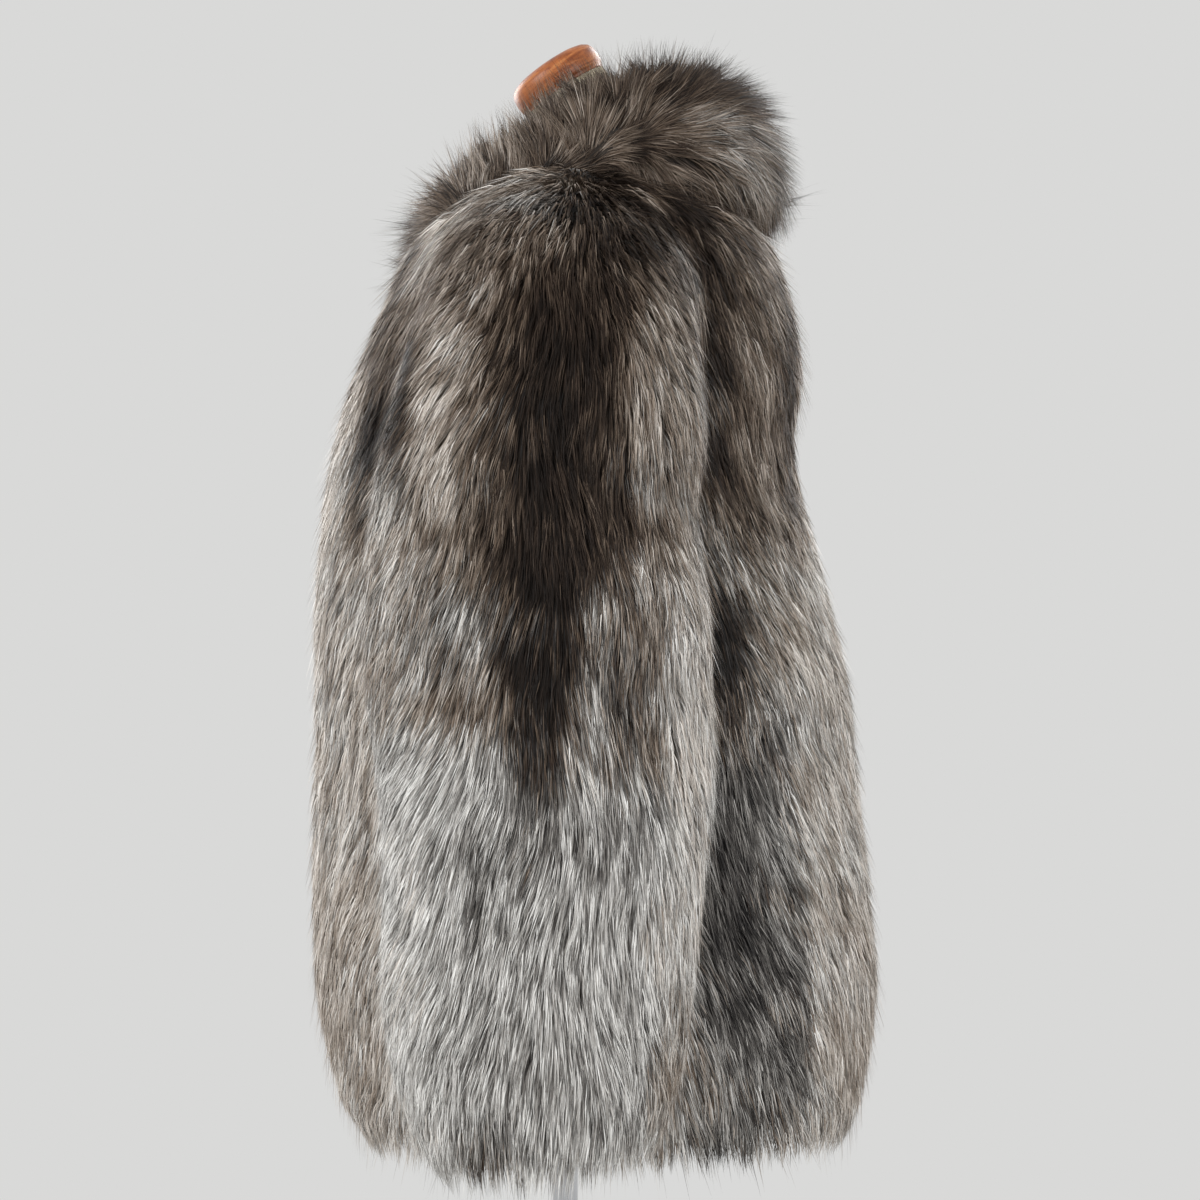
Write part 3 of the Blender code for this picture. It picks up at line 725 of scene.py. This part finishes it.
def traced(surface, u, v, rate_u, rate_v, distance, way):
    """The face's point and normal a distance along the combing from each root."""
    new_v = v + rate_v * distance
    over = np.where(new_v > 1, new_v - 1, np.where(new_v < 0, new_v, 0))
    beyond = np.minimum(np.abs(over) / np.maximum(np.abs(rate_v), 1e-6), distance)
    at_u = u + rate_u * distance
    place = look_up(surface["points"], at_u, new_v) + way * beyond[:, None]
    return place, unit(look_up(surface["normals"], at_u, new_v))


def rates_along(way, du, dv):
    """How fast the face's u and v change along the combing, for each metre."""
    uu, uv, vv = dots(du, du)[:, 0], dots(du, dv)[:, 0], dots(dv, dv)[:, 0]
    wu, wv = dots(way, du)[:, 0], dots(way, dv)[:, 0]
    fixed = uu * vv - uv * uv
    return (wu * vv - wv * uv) / fixed, (wv * uu - wu * uv) / fixed


def blade_lie(along, up, roll):
    """The way across each strand's blade, rolled a little, and the normal that shades it."""
    flat = unit(np.cross(along, up))
    standing = np.cross(flat, along)
    flat = flat * np.cos(roll)[:, None] + standing * np.sin(roll)[:, None]
    facing = unit(np.cross(flat, along))
    facing = facing * np.where(dots(facing, up) < 0, -1, 1)
    return flat, unit(facing * 0.5 + up * 0.5)


def strands(surface, kind, spec, belongs, seed):
    """Every strand of a piece's guard hair: points, normals, faces and palette places."""
    draw = np.random.default_rng(seed)
    per_strand = CURVED_SHARE * 3 + (1 - CURVED_SHARE)
    count = int(spec["tris"] / per_strand)
    u, v = scatter(surface, kind, count, belongs, draw)
    root = look_up(surface["points"], u, v)
    normal = unit(look_up(surface["normals"], u, v))
    du, dv = look_up(surface["du"], u, v), look_up(surface["dv"], u, v)
    to_u, to_v, tuft, tuft_count = tufts(surface, u, v, spec["tuft"], draw)

    # What the hairs of one tuft have in common, and the way each of them lies.
    tuft_turn = draw.normal(0, spec["turn"], tuft_count)[tuft]
    tuft_lift = draw.normal(0, 1, tuft_count)[tuft]
    tuft_tone = draw.normal(0, 1, tuft_count)[tuft]
    tuft_side = draw.random(tuft_count)[tuft]
    way = combed(kind, root, normal)
    across = np.cross(normal, way)
    turn = tuft_turn + draw.normal(0, 0.05, count)
    way = way * np.cos(turn)[:, None] + across * np.sin(turn)[:, None]
    rate_u, rate_v = rates_along(way, du, dv)

    # Length, depth of the root and lift of the tip: less where the fur is pressed, shorter
    # and upright at a whorl, more for a stray.
    pressed = pressed_share(kind, root)
    standing_up = near_whorl(kind, root)
    length = spec["length"] * draw.uniform(0.72, 1.18, count) * (1 - 0.3 * pressed)
    stray = draw.random(count) < spec["stray"]
    length = length * (1 - 0.45 * standing_up) * np.where(stray, 1.2, 1.0)
    depth = (FUR_DEPTH + (PRESSED_DEPTH - FUR_DEPTH) * pressed) * draw.uniform(0.55, 1.0, count)
    depth = depth * (1 - 0.6 * standing_up)
    lift = spec["lift"] * (0.4 + 0.5 * draw.normal(size=count) + 0.6 * tuft_lift)
    lift = np.where(stray, spec["lift"] * 2.2 + 0.003, lift)
    lift = np.clip(lift, -0.004, 0.006 + 2 * spec["lift"]) * (1 - pressed) - 0.0015 * pressed
    lift = lift + 0.002 * standing_up

    # Root, middle and tip: the tip gathers towards its tuft's middle, runs on straighter
    # than a curved face, and stands off it.
    gather = spec["gather"] * draw.uniform(0.6, 1.2, count) * np.where(stray, 0.2, 1)
    tuft_u, tuft_v = u + to_u * gather, v + to_v * gather
    tip, tip_normal = traced(surface, tuft_u, tuft_v, rate_u, rate_v, length, way)
    gathered = look_up(surface["points"], tuft_u, tuft_v)
    straight = gathered + way * length[:, None]
    free = np.where(stray, 0.85, spec["free"]) * (1 - pressed)
    tip = tip + (straight - tip) * free[:, None]
    tip = tip + tip_normal * lift[:, None]
    base_point = root - normal * depth[:, None]
    mid, mid_normal = traced(surface, u + to_u * gather * 0.6, v + to_v * gather * 0.6,
                             rate_u, rate_v, length * 0.5, way)
    rise = lift * 0.35 - depth * 0.10
    mid = mid + mid_normal * rise[:, None]

    # The blade itself, and its colour.
    curved = np.arange(count) < int(count * CURVED_SHARE)
    flat, shading = blade_lie(unit(tip - base_point), mid_normal, draw.normal(0, 0.45, count))
    width = spec["width"] * draw.uniform(0.7, 1.3, count)
    width = width * np.where(stray, 0.6, 1.0)
    place = palette_place(marked(kind, root), tuft_tone, tuft_side, root, draw)
    from_v = 0.02 + 0.32 * standing_up               # no dark roots where the hair turns
    return curved_and_straight(curved, base_point, mid, tip, flat, width, shading, place, from_v)


def palette_place(fur, tuft_tone, tuft_side, root, draw):
    """Where each strand reads the palette: cool hair left of its middle, brown right."""
    count = len(root)
    mix, tone = fur["mix"], fur["tone"]
    pale_tuft = np.where(tuft_side < 0.5, 1.0, -1.0)
    pale_hair = np.where(draw.random(count) < 0.5, 1.0, -1.0)
    value = tone + mix * (0.22 * pale_tuft + 0.20 * pale_hair) + 0.05 * tuft_tone
    value = value + 0.06 * draw.normal(size=count) + 0.06 * swell(root, 0.014, SEED + 5)
    brown = (fur["warmth"] - 0.5) * 2.2 + 0.5 + 0.25 * swell(root, 0.035, SEED + 6)
    warm = draw.random(count) < brown
    value = np.clip(value, 0.01, 0.99)
    return np.where(warm, 0.52 + 0.47 * value, 0.01 + 0.47 * value)


def curved_and_straight(curved, base, mid, tip, flat, width, shading, place, from_v):
    """Joins both kinds of strand: five corners for a bent one, three for a straight one."""
    half = flat * (width / 2)[:, None]
    narrow = 0.0009                                   # a strand's width in the palette
    bent, plain = curved, ~curved
    bent_count, plain_count = int(bent.sum()), int(plain.sum())
    five = np.stack((base[bent] - half[bent] * 0.7, base[bent] + half[bent] * 0.7,
                     mid[bent] - half[bent], mid[bent] + half[bent], tip[bent]), axis=1)
    three = np.stack((base[plain] - half[plain], base[plain] + half[plain], tip[plain]), axis=1)
    points = np.concatenate((five.reshape(-1, 3), three.reshape(-1, 3)))
    normals = np.concatenate((np.repeat(shading[bent], 5, axis=0),
                              np.repeat(shading[plain], 3, axis=0)))
    of_five = np.array(((0, 1, 3), (0, 3, 2), (2, 3, 4)))
    first = (np.arange(bent_count) * 5)[:, None, None] + of_five
    second = (bent_count * 5 + np.arange(plain_count) * 3)[:, None] + np.arange(3)
    faces = np.concatenate((first.reshape(-1, 3), second))
    five_u = place[bent][:, None] + narrow * np.array((-1, 1, -1, 1, 0))
    five_v = np.tile(np.array((0.0, 0.0, 0.5, 0.5, 0.98)), (bent_count, 1))
    five_v[:, :2] = from_v[bent][:, None]
    three_u = place[plain][:, None] + narrow * np.array((-1, 1, 0))
    three_v = np.tile(np.array((0.0, 0.0, 0.98)), (plain_count, 1))
    three_v[:, :2] = from_v[plain][:, None]
    palette = np.stack((np.concatenate((five_u.ravel(), three_u.ravel())),
                        np.concatenate((five_v.ravel(), three_v.ravel()))), axis=-1)
    return points, normals, faces, palette


def joined_strands(name, points, normals, faces, palette):
    """One mesh of all the strands, its corners placed on the palette by the map OFBake."""
    mesh = bpy.data.meshes.new(name)
    mesh.vertices.add(len(points))
    mesh.loops.add(len(faces) * 3)
    mesh.polygons.add(len(faces))
    mesh.vertices.foreach_set("co", points.astype(np.float32).ravel())
    mesh.loops.foreach_set("vertex_index", faces.astype(np.int32).ravel())
    mesh.polygons.foreach_set("loop_start", np.arange(0, len(faces) * 3, 3, dtype=np.int32))
    mesh.update(calc_edges=True)
    mesh.shade_smooth()
    places = mesh.uv_layers.new(name="OFBake")
    places.data.foreach_set("uv", palette[faces.ravel()].astype(np.float32).ravel())
    mesh.normals_split_custom_set_from_vertices(normals.astype(np.float32))
    mesh.materials.append(material("fox_guard_hair"))
    hair = bpy.data.objects.new(name, mesh)
    bpy.context.scene.collection.objects.link(hair)
    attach(hair, "root")
    return hair


# ---- materials ---------------------------------------------------------------------------
def add_node(tree, kind, settings=None, values=None, links=None):
    """One node with its settings, socket values and incoming links."""
    node = tree.nodes.new(kind)
    for key, value in (settings or {}).items():
        setattr(node, key, value)
    for key, value in (values or {}).items():
        node.inputs[key].default_value = value
    for key, source in (links or {}).items():
        tree.links.new(source, node.inputs[key])
    return node


def fill_ramp(node, stops):
    """Sets a colour ramp's stops from (place, hex) pairs."""
    ramp = node.color_ramp
    while len(ramp.elements) > 1:
        ramp.elements.remove(ramp.elements[-1])
    ramp.elements[0].position = stops[0][0]
    ramp.elements[0].color = linear(stops[0][1])
    for place, code in stops[1:]:
        ramp.elements.new(place).color = linear(code)


def new_material(name, values):
    """A material of one shader, with the values that are the same all over it."""
    made = bpy.data.materials.new(name)
    made.use_nodes = True
    tree = made.node_tree
    tree.nodes.clear()
    shader = add_node(tree, "ShaderNodeBsdfPrincipled", values=values)
    add_node(tree, "ShaderNodeOutputMaterial", links={"Surface": shader.outputs["BSDF"]})
    return made, tree, shader


# Silver fox guard hair, washed and combed. Left half of each ramp is the cool hair from black
# to silver, right half the brown hair from black-brown to beige.
# The root ramp is darker than the hair's own colour: painted shade of the fur lying over the roots.
HAIR_ROOTS = (
    (0.00, "#0a0908"), (0.24, "#292726"), (0.49, "#6b6866"),
    (0.51, "#0d0907"), (0.76, "#33281f"), (1.00, "#766a5d"),
)
HAIR_MIDDLES = (
    (0.00, "#0b0a0a"), (0.10, "#2a2726"), (0.20, "#5e5a57"), (0.30, "#94908b"),
    (0.40, "#c7c4c0"), (0.49, "#f3f2ef"),
    (0.51, "#110c09"), (0.60, "#30251e"), (0.70, "#66574a"), (0.80, "#998c80"),
    (0.90, "#c8bfb6"), (1.00, "#efeae4"),
)
HAIR_TIPS = (
    (0.00, "#0f0e0d"), (0.12, "#2b2928"), (0.24, "#5e5b58"), (0.34, "#94918d"),
    (0.49, "#dbdad7"),
    (0.51, "#140f0c"), (0.64, "#3b3028"), (0.78, "#776b5f"), (0.90, "#aea499"),
    (1.00, "#d9d2ca"),
)


def fox_guard_hair():
    """Long smooth hair: dark at the root, its own colour there deepened by painted shade of the fur
    above, its band of colour in the middle, a soft gloss.
    """
    made, tree, shader = new_material("fox_guard_hair", {
        "Roughness": 0.50, "IOR": 1.55, "Specular IOR Level": 0.12})
    places = add_node(tree, "ShaderNodeUVMap", {"uv_map": "OFBake"})
    split = add_node(tree, "ShaderNodeSeparateXYZ", links={"Vector": places.outputs["UV"]})
    ramps = []
    for stops in (HAIR_ROOTS, HAIR_MIDDLES, HAIR_TIPS):
        ramp = add_node(tree, "ShaderNodeValToRGB", links={"Fac": split.outputs["X"]})
        fill_ramp(ramp, stops)
        ramps.append(ramp.outputs["Color"])
    from_root = add_node(tree, "ShaderNodeMapRange", {"interpolation_type": "SMOOTHSTEP"},
                         {"From Min": 0.05, "From Max": 0.55}, {"Value": split.outputs["Y"]})
    to_tip = add_node(tree, "ShaderNodeMapRange", {"interpolation_type": "SMOOTHSTEP"},
                      {"From Min": 0.60, "From Max": 0.95}, {"Value": split.outputs["Y"]})
    # Of a colour Mix node, input 0 is the factor, 6 and 7 are the colours and output 2 the result.
    lower = add_node(tree, "ShaderNodeMix", {"data_type": "RGBA"},
                     links={0: from_root.outputs["Result"], 6: ramps[0], 7: ramps[1]})
    whole = add_node(tree, "ShaderNodeMix", {"data_type": "RGBA"},
                     links={0: to_tip.outputs["Result"], 6: lower.outputs[2], 7: ramps[2]})
    tree.links.new(whole.outputs[2], shader.inputs["Base Color"])
    return made


def fox_underfur():
    """Dense, dull wool under the guard hair, paler where the hair is pale: soft long locks."""
    made, tree, shader = new_material("fox_underfur", {
        "Roughness": 0.9, "Sheen Weight": 0.25, "Sheen Roughness": 0.5})
    place = add_node(tree, "ShaderNodeTexCoord")
    drawn = add_node(tree, "ShaderNodeMapping", values={"Scale": (1.0, 1.0, 0.16)},
                     links={"Vector": place.outputs["Object"]})
    # Locks 4 mm across and some 25 mm long.
    locks = add_node(tree, "ShaderNodeTexNoise", values={"Scale": 240.0, "Detail": 4.0},
                     links={"Vector": drawn.outputs["Vector"]})
    tone = add_node(tree, "ShaderNodeAttribute", {"attribute_name": "fur_tone"})
    shade = add_node(tree, "ShaderNodeMath", {"operation": "MULTIPLY"},
                     links={0: tone.outputs["Fac"], 1: locks.outputs["Fac"]})
    ramp = add_node(tree, "ShaderNodeValToRGB", links={"Fac": shade.outputs["Value"]})
    fill_ramp(ramp, ((0.03, "#120e0b"), (0.15, "#2c251f"), (0.30, "#554b42"), (0.48, "#857c72")))
    tree.links.new(ramp.outputs["Color"], shader.inputs["Base Color"])
    raised = add_node(tree, "ShaderNodeBump", values={"Strength": 0.8, "Distance": 0.002},
                      links={"Height": locks.outputs["Fac"]})
    tree.links.new(raised.outputs["Normal"], shader.inputs["Normal"])
    return made


def turned_beech():
    """Turned beech, stained orange and varnished: fine grain under a thin satin coat."""
    made, tree, shader = new_material("turned_beech", {
        "Roughness": 0.45, "Specular IOR Level": 0.25, "Coat Weight": 0.3,
        "Coat Roughness": 0.3})
    place = add_node(tree, "ShaderNodeTexCoord")
    drawn = add_node(tree, "ShaderNodeMapping", values={"Scale": (1.0, 1.0, 7.0)},
                     links={"Vector": place.outputs["Object"]})
    # The grain runs across the cap, its figure 5 mm wide. Beech's flecks are finer than a
    # tenth of a millimetre; these are 1 mm wide, so that they show.
    figure = add_node(tree, "ShaderNodeTexNoise",
                      values={"Scale": 26.0, "Detail": 5.0, "Distortion": 0.7},
                      links={"Vector": drawn.outputs["Vector"]})
    flecks = add_node(tree, "ShaderNodeTexNoise", values={"Scale": 160.0, "Detail": 3.0},
                      links={"Vector": drawn.outputs["Vector"]})
    base = add_node(tree, "ShaderNodeValToRGB", links={"Fac": figure.outputs["Fac"]})
    fill_ramp(base, ((0.36, "#7a3c18"), (0.46, "#904e22"), (0.54, "#a15c2e"), (0.66, "#b67340")))
    dark = add_node(tree, "ShaderNodeMapRange", values={"From Min": 0.56, "From Max": 0.72},
                    links={"Value": flecks.outputs["Fac"]})
    flecked = add_node(tree, "ShaderNodeMix", {"data_type": "RGBA", "blend_type": "MULTIPLY"})
    tree.links.new(dark.outputs["Result"], flecked.inputs[0])
    tree.links.new(base.outputs["Color"], flecked.inputs[6])
    flecked.inputs[7].default_value = linear("#c39467")
    tree.links.new(flecked.outputs[2], shader.inputs["Base Color"])
    return made


def stretched_linen():
    """Unbleached linen stretched over padding: a plain weave of slubby yarns."""
    made, tree, shader = new_material("stretched_linen", {
        "Roughness": 0.85, "Sheen Weight": 0.15})
    place = add_node(tree, "ShaderNodeTexCoord")
    threads = []
    # Real yarns lie 0.6 mm apart; these are 1.5 mm, so that the weave shows.
    for turn in (0.0, radians(90)):
        turned_way = add_node(tree, "ShaderNodeMapping", values={"Rotation": (0.0, turn, 0.0)},
                              links={"Vector": place.outputs["Object"]})
        wave = add_node(tree, "ShaderNodeTexWave", {"bands_direction": "X"},
                        {"Scale": 210.0, "Distortion": 1.2, "Detail": 2.0},
                        {"Vector": turned_way.outputs["Vector"]})
        threads.append(wave.outputs["Fac"])
    weave = add_node(tree, "ShaderNodeMath", {"operation": "MAXIMUM"},
                     links={0: threads[0], 1: threads[1]})
    slubs = add_node(tree, "ShaderNodeTexNoise", values={"Scale": 55.0, "Detail": 4.0},
                     links={"Vector": place.outputs["Object"]})
    tinted = add_node(tree, "ShaderNodeMath", {"operation": "MULTIPLY"},
                      links={0: weave.outputs["Value"], 1: slubs.outputs["Fac"]})
    ramp = add_node(tree, "ShaderNodeValToRGB", links={"Fac": tinted.outputs["Value"]})
    fill_ramp(ramp, ((0.10, "#8f8268"), (0.35, "#b3a88c"), (0.60, "#cdc4ab")))
    tree.links.new(ramp.outputs["Color"], shader.inputs["Base Color"])
    raised = add_node(tree, "ShaderNodeBump", values={"Strength": 0.5, "Distance": 0.0006},
                      links={"Height": weave.outputs["Value"]})
    tree.links.new(raised.outputs["Normal"], shader.inputs["Normal"])
    return made


def chromed_tube():
    """Bright chrome on steel tube, with faint polishing marks round it."""
    made, tree, shader = new_material("chromed_tube", {
        "Base Color": linear("#c9cacd"), "Metallic": 1.0})
    place = add_node(tree, "ShaderNodeTexCoord")
    drawn = add_node(tree, "ShaderNodeMapping", values={"Scale": (8.0, 8.0, 900.0)},
                     links={"Vector": place.outputs["Object"]})
    # Polishing marks are finer than 0.1 mm; these are 1 mm apart, so that they show.
    marks = add_node(tree, "ShaderNodeTexNoise", values={"Scale": 1.0, "Detail": 3.0},
                     links={"Vector": drawn.outputs["Vector"]})
    gloss = add_node(tree, "ShaderNodeMapRange", values={"To Min": 0.10, "To Max": 0.20},
                     links={"Value": marks.outputs["Fac"]})
    tree.links.new(gloss.outputs["Result"], shader.inputs["Roughness"])
    return made


def satin_steel():
    """Spun steel plate: fine rings from the lathe, and the soft clouds of a satin finish."""
    made, tree, shader = new_material("satin_steel", {"Metallic": 1.0})
    place = add_node(tree, "ShaderNodeTexCoord")
    # The lathe leaves rings 0.3 mm apart; these are 2 mm, so that they show.
    lathe = add_node(tree, "ShaderNodeTexWave", {"wave_type": "RINGS", "rings_direction": "Z"},
                     {"Scale": 160.0, "Distortion": 0.4, "Detail": 2.0},
                     {"Vector": place.outputs["Object"]})
    cloudy = add_node(tree, "ShaderNodeTexNoise", values={"Scale": 18.0, "Detail": 4.0},
                      links={"Vector": place.outputs["Object"]})
    blend = add_node(tree, "ShaderNodeMath", {"operation": "MULTIPLY_ADD"}, {1: 0.25},
                     {0: lathe.outputs["Fac"], 2: cloudy.outputs["Fac"]})
    gloss = add_node(tree, "ShaderNodeMapRange", values={"To Min": 0.34, "To Max": 0.50},
                     links={"Value": blend.outputs["Value"]})
    shade = add_node(tree, "ShaderNodeValToRGB", links={"Fac": blend.outputs["Value"]})
    fill_ramp(shade, ((0.30, "#77797c"), (0.90, "#939599")))
    tree.links.new(gloss.outputs["Result"], shader.inputs["Roughness"])
    tree.links.new(shade.outputs["Color"], shader.inputs["Base Color"])
    return made


def studio_floor():
    """Matt pale board, a little uneven."""
    made, tree, shader = new_material("studio_floor", {"Roughness": 0.9})
    place = add_node(tree, "ShaderNodeTexCoord")
    cloudy = add_node(tree, "ShaderNodeTexNoise", values={"Scale": 3.0, "Detail": 3.0},
                      links={"Vector": place.outputs["Object"]})
    ramp = add_node(tree, "ShaderNodeValToRGB", links={"Fac": cloudy.outputs["Fac"]})
    fill_ramp(ramp, ((0.30, "#a3a3a1"), (0.70, "#a9a9a7")))
    tree.links.new(ramp.outputs["Color"], shader.inputs["Base Color"])
    return made


MAKERS = {maker.__name__: maker for maker in (
    fox_guard_hair, fox_underfur, turned_beech, stretched_linen, chromed_tube, satin_steel,
    studio_floor)}
FINISHES = {}


def material(name):
    """The material of that name, made once."""
    if name not in FINISHES:
        FINISHES[name] = MAKERS[name]()
    return FINISHES[name]


# ---- the coat ----------------------------------------------------------------------------
HAIR_OF = {row["piece"]: row for row in rows(HAIR_COLUMNS, HAIR)}


def face_of(kind, rings, troughs):
    """The outer face of a kind of piece, with its troughs."""
    return press_in(surface_of(rings, GRIDS[kind][1]), kind, troughs)


def lowest_edge(surface):
    """How low a pelt may reach, so that the hair below it ends at the face's lower edge."""
    return surface["points"][..., 2].min() + HEM_FRINGE


def make_fur(name, kind, surface, belongs, seed):
    """One piece's pelt and the guard hair on it."""
    pelt = make_pelt(name, kind, surface, belongs)
    data = strands(surface, kind, HAIR_OF[name], belongs, seed)
    return name, pelt, in_parts(name, data, HAIR_OF[name]["tris"])


def in_parts(name, data, tris):
    """The strands as one piece, or as a left and a right one if they are many."""
    points, normals, faces, palette = data
    if tris <= MOST_TRIS:
        return [joined_strands(name + "_hair", points, normals, faces, palette)]
    found = []
    leftward = points[faces[:, 0], 0] > 0
    for label, chosen in (("left", leftward), ("right", ~leftward)):
        used, place = np.unique(faces[chosen], return_inverse=True)
        hair = joined_strands(f"{name}_hair_{label}", points[used], normals[used],
                              place.reshape(-1, 3), palette[used])
        found.append(hair)
    return found


def make_body():
    """The back and both fronts, cut from one face."""
    surface = face_of("body", body_rings(GRIDS["body"][0]), BODY_TROUGHS)
    lowest = lowest_edge(surface)
    furs = []
    for number, (name, side) in enumerate(PIECE_SIDES.items()):
        def belongs(points, side=side):
            return side(points) & ~in_armhole(points) & (points[..., 2] > lowest)
        furs.append(make_fur(name, "body", surface, belongs, SEED + 10 + number))
    return furs


def make_sleeve(name, side, seed):
    """One sleeve: side is 1 on the wearer's left and -1 on the right."""
    surface = face_of("sleeve", sleeve_rings(GRIDS["sleeve"][0], side), SLEEVE_TROUGHS)
    lowest = lowest_edge(surface)

    def belongs(points):
        return points[..., 2] > lowest + CUFF_RISE * np.maximum(points[..., 1], 0)
    return make_fur(name, "sleeve", surface, belongs, seed)


def make_collar(seed):
    """The turned-down collar, one roll from front edge to front edge."""
    surface = face_of("collar", collar_rings(GRIDS["collar"][0]), COLLAR_TROUGHS)

    def belongs(points):
        return ~under_collar_seat(points)
    return make_fur("collar", "collar", surface, belongs, seed)


# The neck cap's turned outline, as (radius, height) from its underside, and how it sits.
CAP_OUTLINE = (
    (0.0000, 0.0000), (0.0330, 0.0000), (0.0342, 0.0007), (0.0334, 0.0016), (0.0346, 0.0026),
    (0.0356, 0.0046), (0.0360, 0.0080), (0.0360, 0.0125), (0.0354, 0.0162), (0.0338, 0.0192),
    (0.0308, 0.0214), (0.0262, 0.0229), (0.0200, 0.0239), (0.0110, 0.0246), (0.0000, 0.0250),
)
CAP_SEAT = (0.0, 0.0, 1.364)
CAP_TILT = 34
CAP_SIDES = 96


def make_cap():
    """The wooden cap, turned: its outline spun round, with a fine groove above its lower edge."""
    made = bmesh.new()
    ends = (CAP_OUTLINE[0], CAP_OUTLINE[-1])
    centres = [made.verts.new((0.0, 0.0, height)) for _, height in ends]
    hoops = []
    for radius, height in CAP_OUTLINE[1:-1]:
        spots = [2 * pi * k / CAP_SIDES for k in range(CAP_SIDES)]
        hoops.append([made.verts.new((radius * cos(t), radius * sin(t), height)) for t in spots])
    for k in range(CAP_SIDES):
        j = (k + 1) % CAP_SIDES
        made.faces.new((centres[0], hoops[0][j], hoops[0][k]))
        made.faces.new((centres[1], hoops[-1][k], hoops[-1][j]))
        for lower, upper in zip(hoops, hoops[1:]):
            made.faces.new((lower[k], lower[j], upper[j], upper[k]))
    mesh = bpy.data.meshes.new("neck_cap")
    made.to_mesh(mesh)
    made.free()
    mesh.shade_smooth()
    mesh.materials.append(material("turned_beech"))
    cap = bpy.data.objects.new("neck_cap_turned", mesh)
    bpy.context.scene.collection.objects.link(cap)
    cap.location = CAP_SEAT
    cap.rotation_euler = (radians(CAP_TILT), 0.0, 0.0)
    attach(cap, "root")
    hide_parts("neck_cap")


# ---- stage -------------------------------------------------------------------------------
FLOOR_RADIUS = 2.7
FLOOR_GAP = 0.0005         # the floor lies this far under the base, so that the two do not mix
CHEST = (0.0, 0.0, 1.0)    # where the lights look
# Softboxes: place, width across and power in watts.
SOFTBOXES = {
    "window_side": ((2.0, -2.8, 2.4), 2.2, 85.0),
    "room_side": ((2.4, 2.6, 1.8), 2.4, 60.0),
    "behind": ((-2.6, 1.6, 2.2), 2.2, 65.0),
    "behind_front": ((-2.4, -2.0, 1.8), 2.2, 60.0),
}
# The camera is level with the coat's middle, square on its left side, 2.5 m from the pole.
CAMERA_PLACE = (2.5, 0.026, 0.983)
CAMERA_LENS = 100.0        # millimetres, as is the sensor's width
CAMERA_SENSOR = 36.0


def make_floor():
    """A round pale board under the stand."""
    made = bmesh.new()
    bmesh.ops.create_circle(made, cap_ends=True, segments=128, radius=FLOOR_RADIUS)
    mesh = bpy.data.meshes.new("studio_floor")
    made.to_mesh(mesh)
    made.free()
    mesh.materials.append(material("studio_floor"))
    floor = bpy.data.objects.new("studio_floor", mesh)
    bpy.context.scene.collection.objects.link(floor)
    floor.location = (0.0, 0.0, cad_low.z - FLOOR_GAP)


def add_softbox(name, place, size, power):
    """A round soft light that looks at the chest."""
    lamp = bpy.data.lights.new(name, "AREA")
    lamp.shape = "DISK"
    lamp.size = size
    lamp.energy = power
    box = bpy.data.objects.new(name, lamp)
    bpy.context.scene.collection.objects.link(box)
    box.location = place
    aim = Vector(CHEST) - Vector(place)
    box.rotation_euler = aim.to_track_quat("-Z", "Y").to_euler()


def light_studio():
    """Four softboxes in a pale room."""
    for name, (place, size, power) in SOFTBOXES.items():
        add_softbox(name, place, size, power)
    world = bpy.data.worlds.new("pale_room")
    bpy.context.scene.world = world
    world.use_nodes = True
    sky = world.node_tree.nodes["Background"]
    sky.inputs["Color"].default_value = linear("#d9d9d8")
    sky.inputs["Strength"].default_value = 1.0


def place_camera():
    """Level, looking along -X."""
    camera = bpy.data.cameras.new("camera")
    camera.lens = CAMERA_LENS
    camera.sensor_width = CAMERA_SENSOR
    seat = bpy.data.objects.new("camera", camera)
    bpy.context.scene.collection.objects.link(seat)
    seat.location = CAMERA_PLACE
    seat.rotation_euler = (radians(90), 0.0, radians(90))
    bpy.context.scene.camera = seat


# ---- assembly ----------------------------------------------------------------------------
def dress(node, name):
    """Gives a carried-over solid its finished material."""
    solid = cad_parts[node]
    solid.data.materials.clear()
    solid.data.materials.append(material(name))


def main():
    place_camera()
    furs = make_body()
    furs.append(make_sleeve("sleeve_left", 1, SEED + 20))
    furs.append(make_sleeve("sleeve_right", -1, SEED + 21))
    furs.append(make_collar(SEED + 22))
    dress("form_torso", "stretched_linen")
    make_cap()
    dress("pole", "chromed_tube")
    dress("base", "satin_steel")
    make_floor()
    light_studio()
    bpy.context.scene.view_settings.view_transform = "Standard"


main()
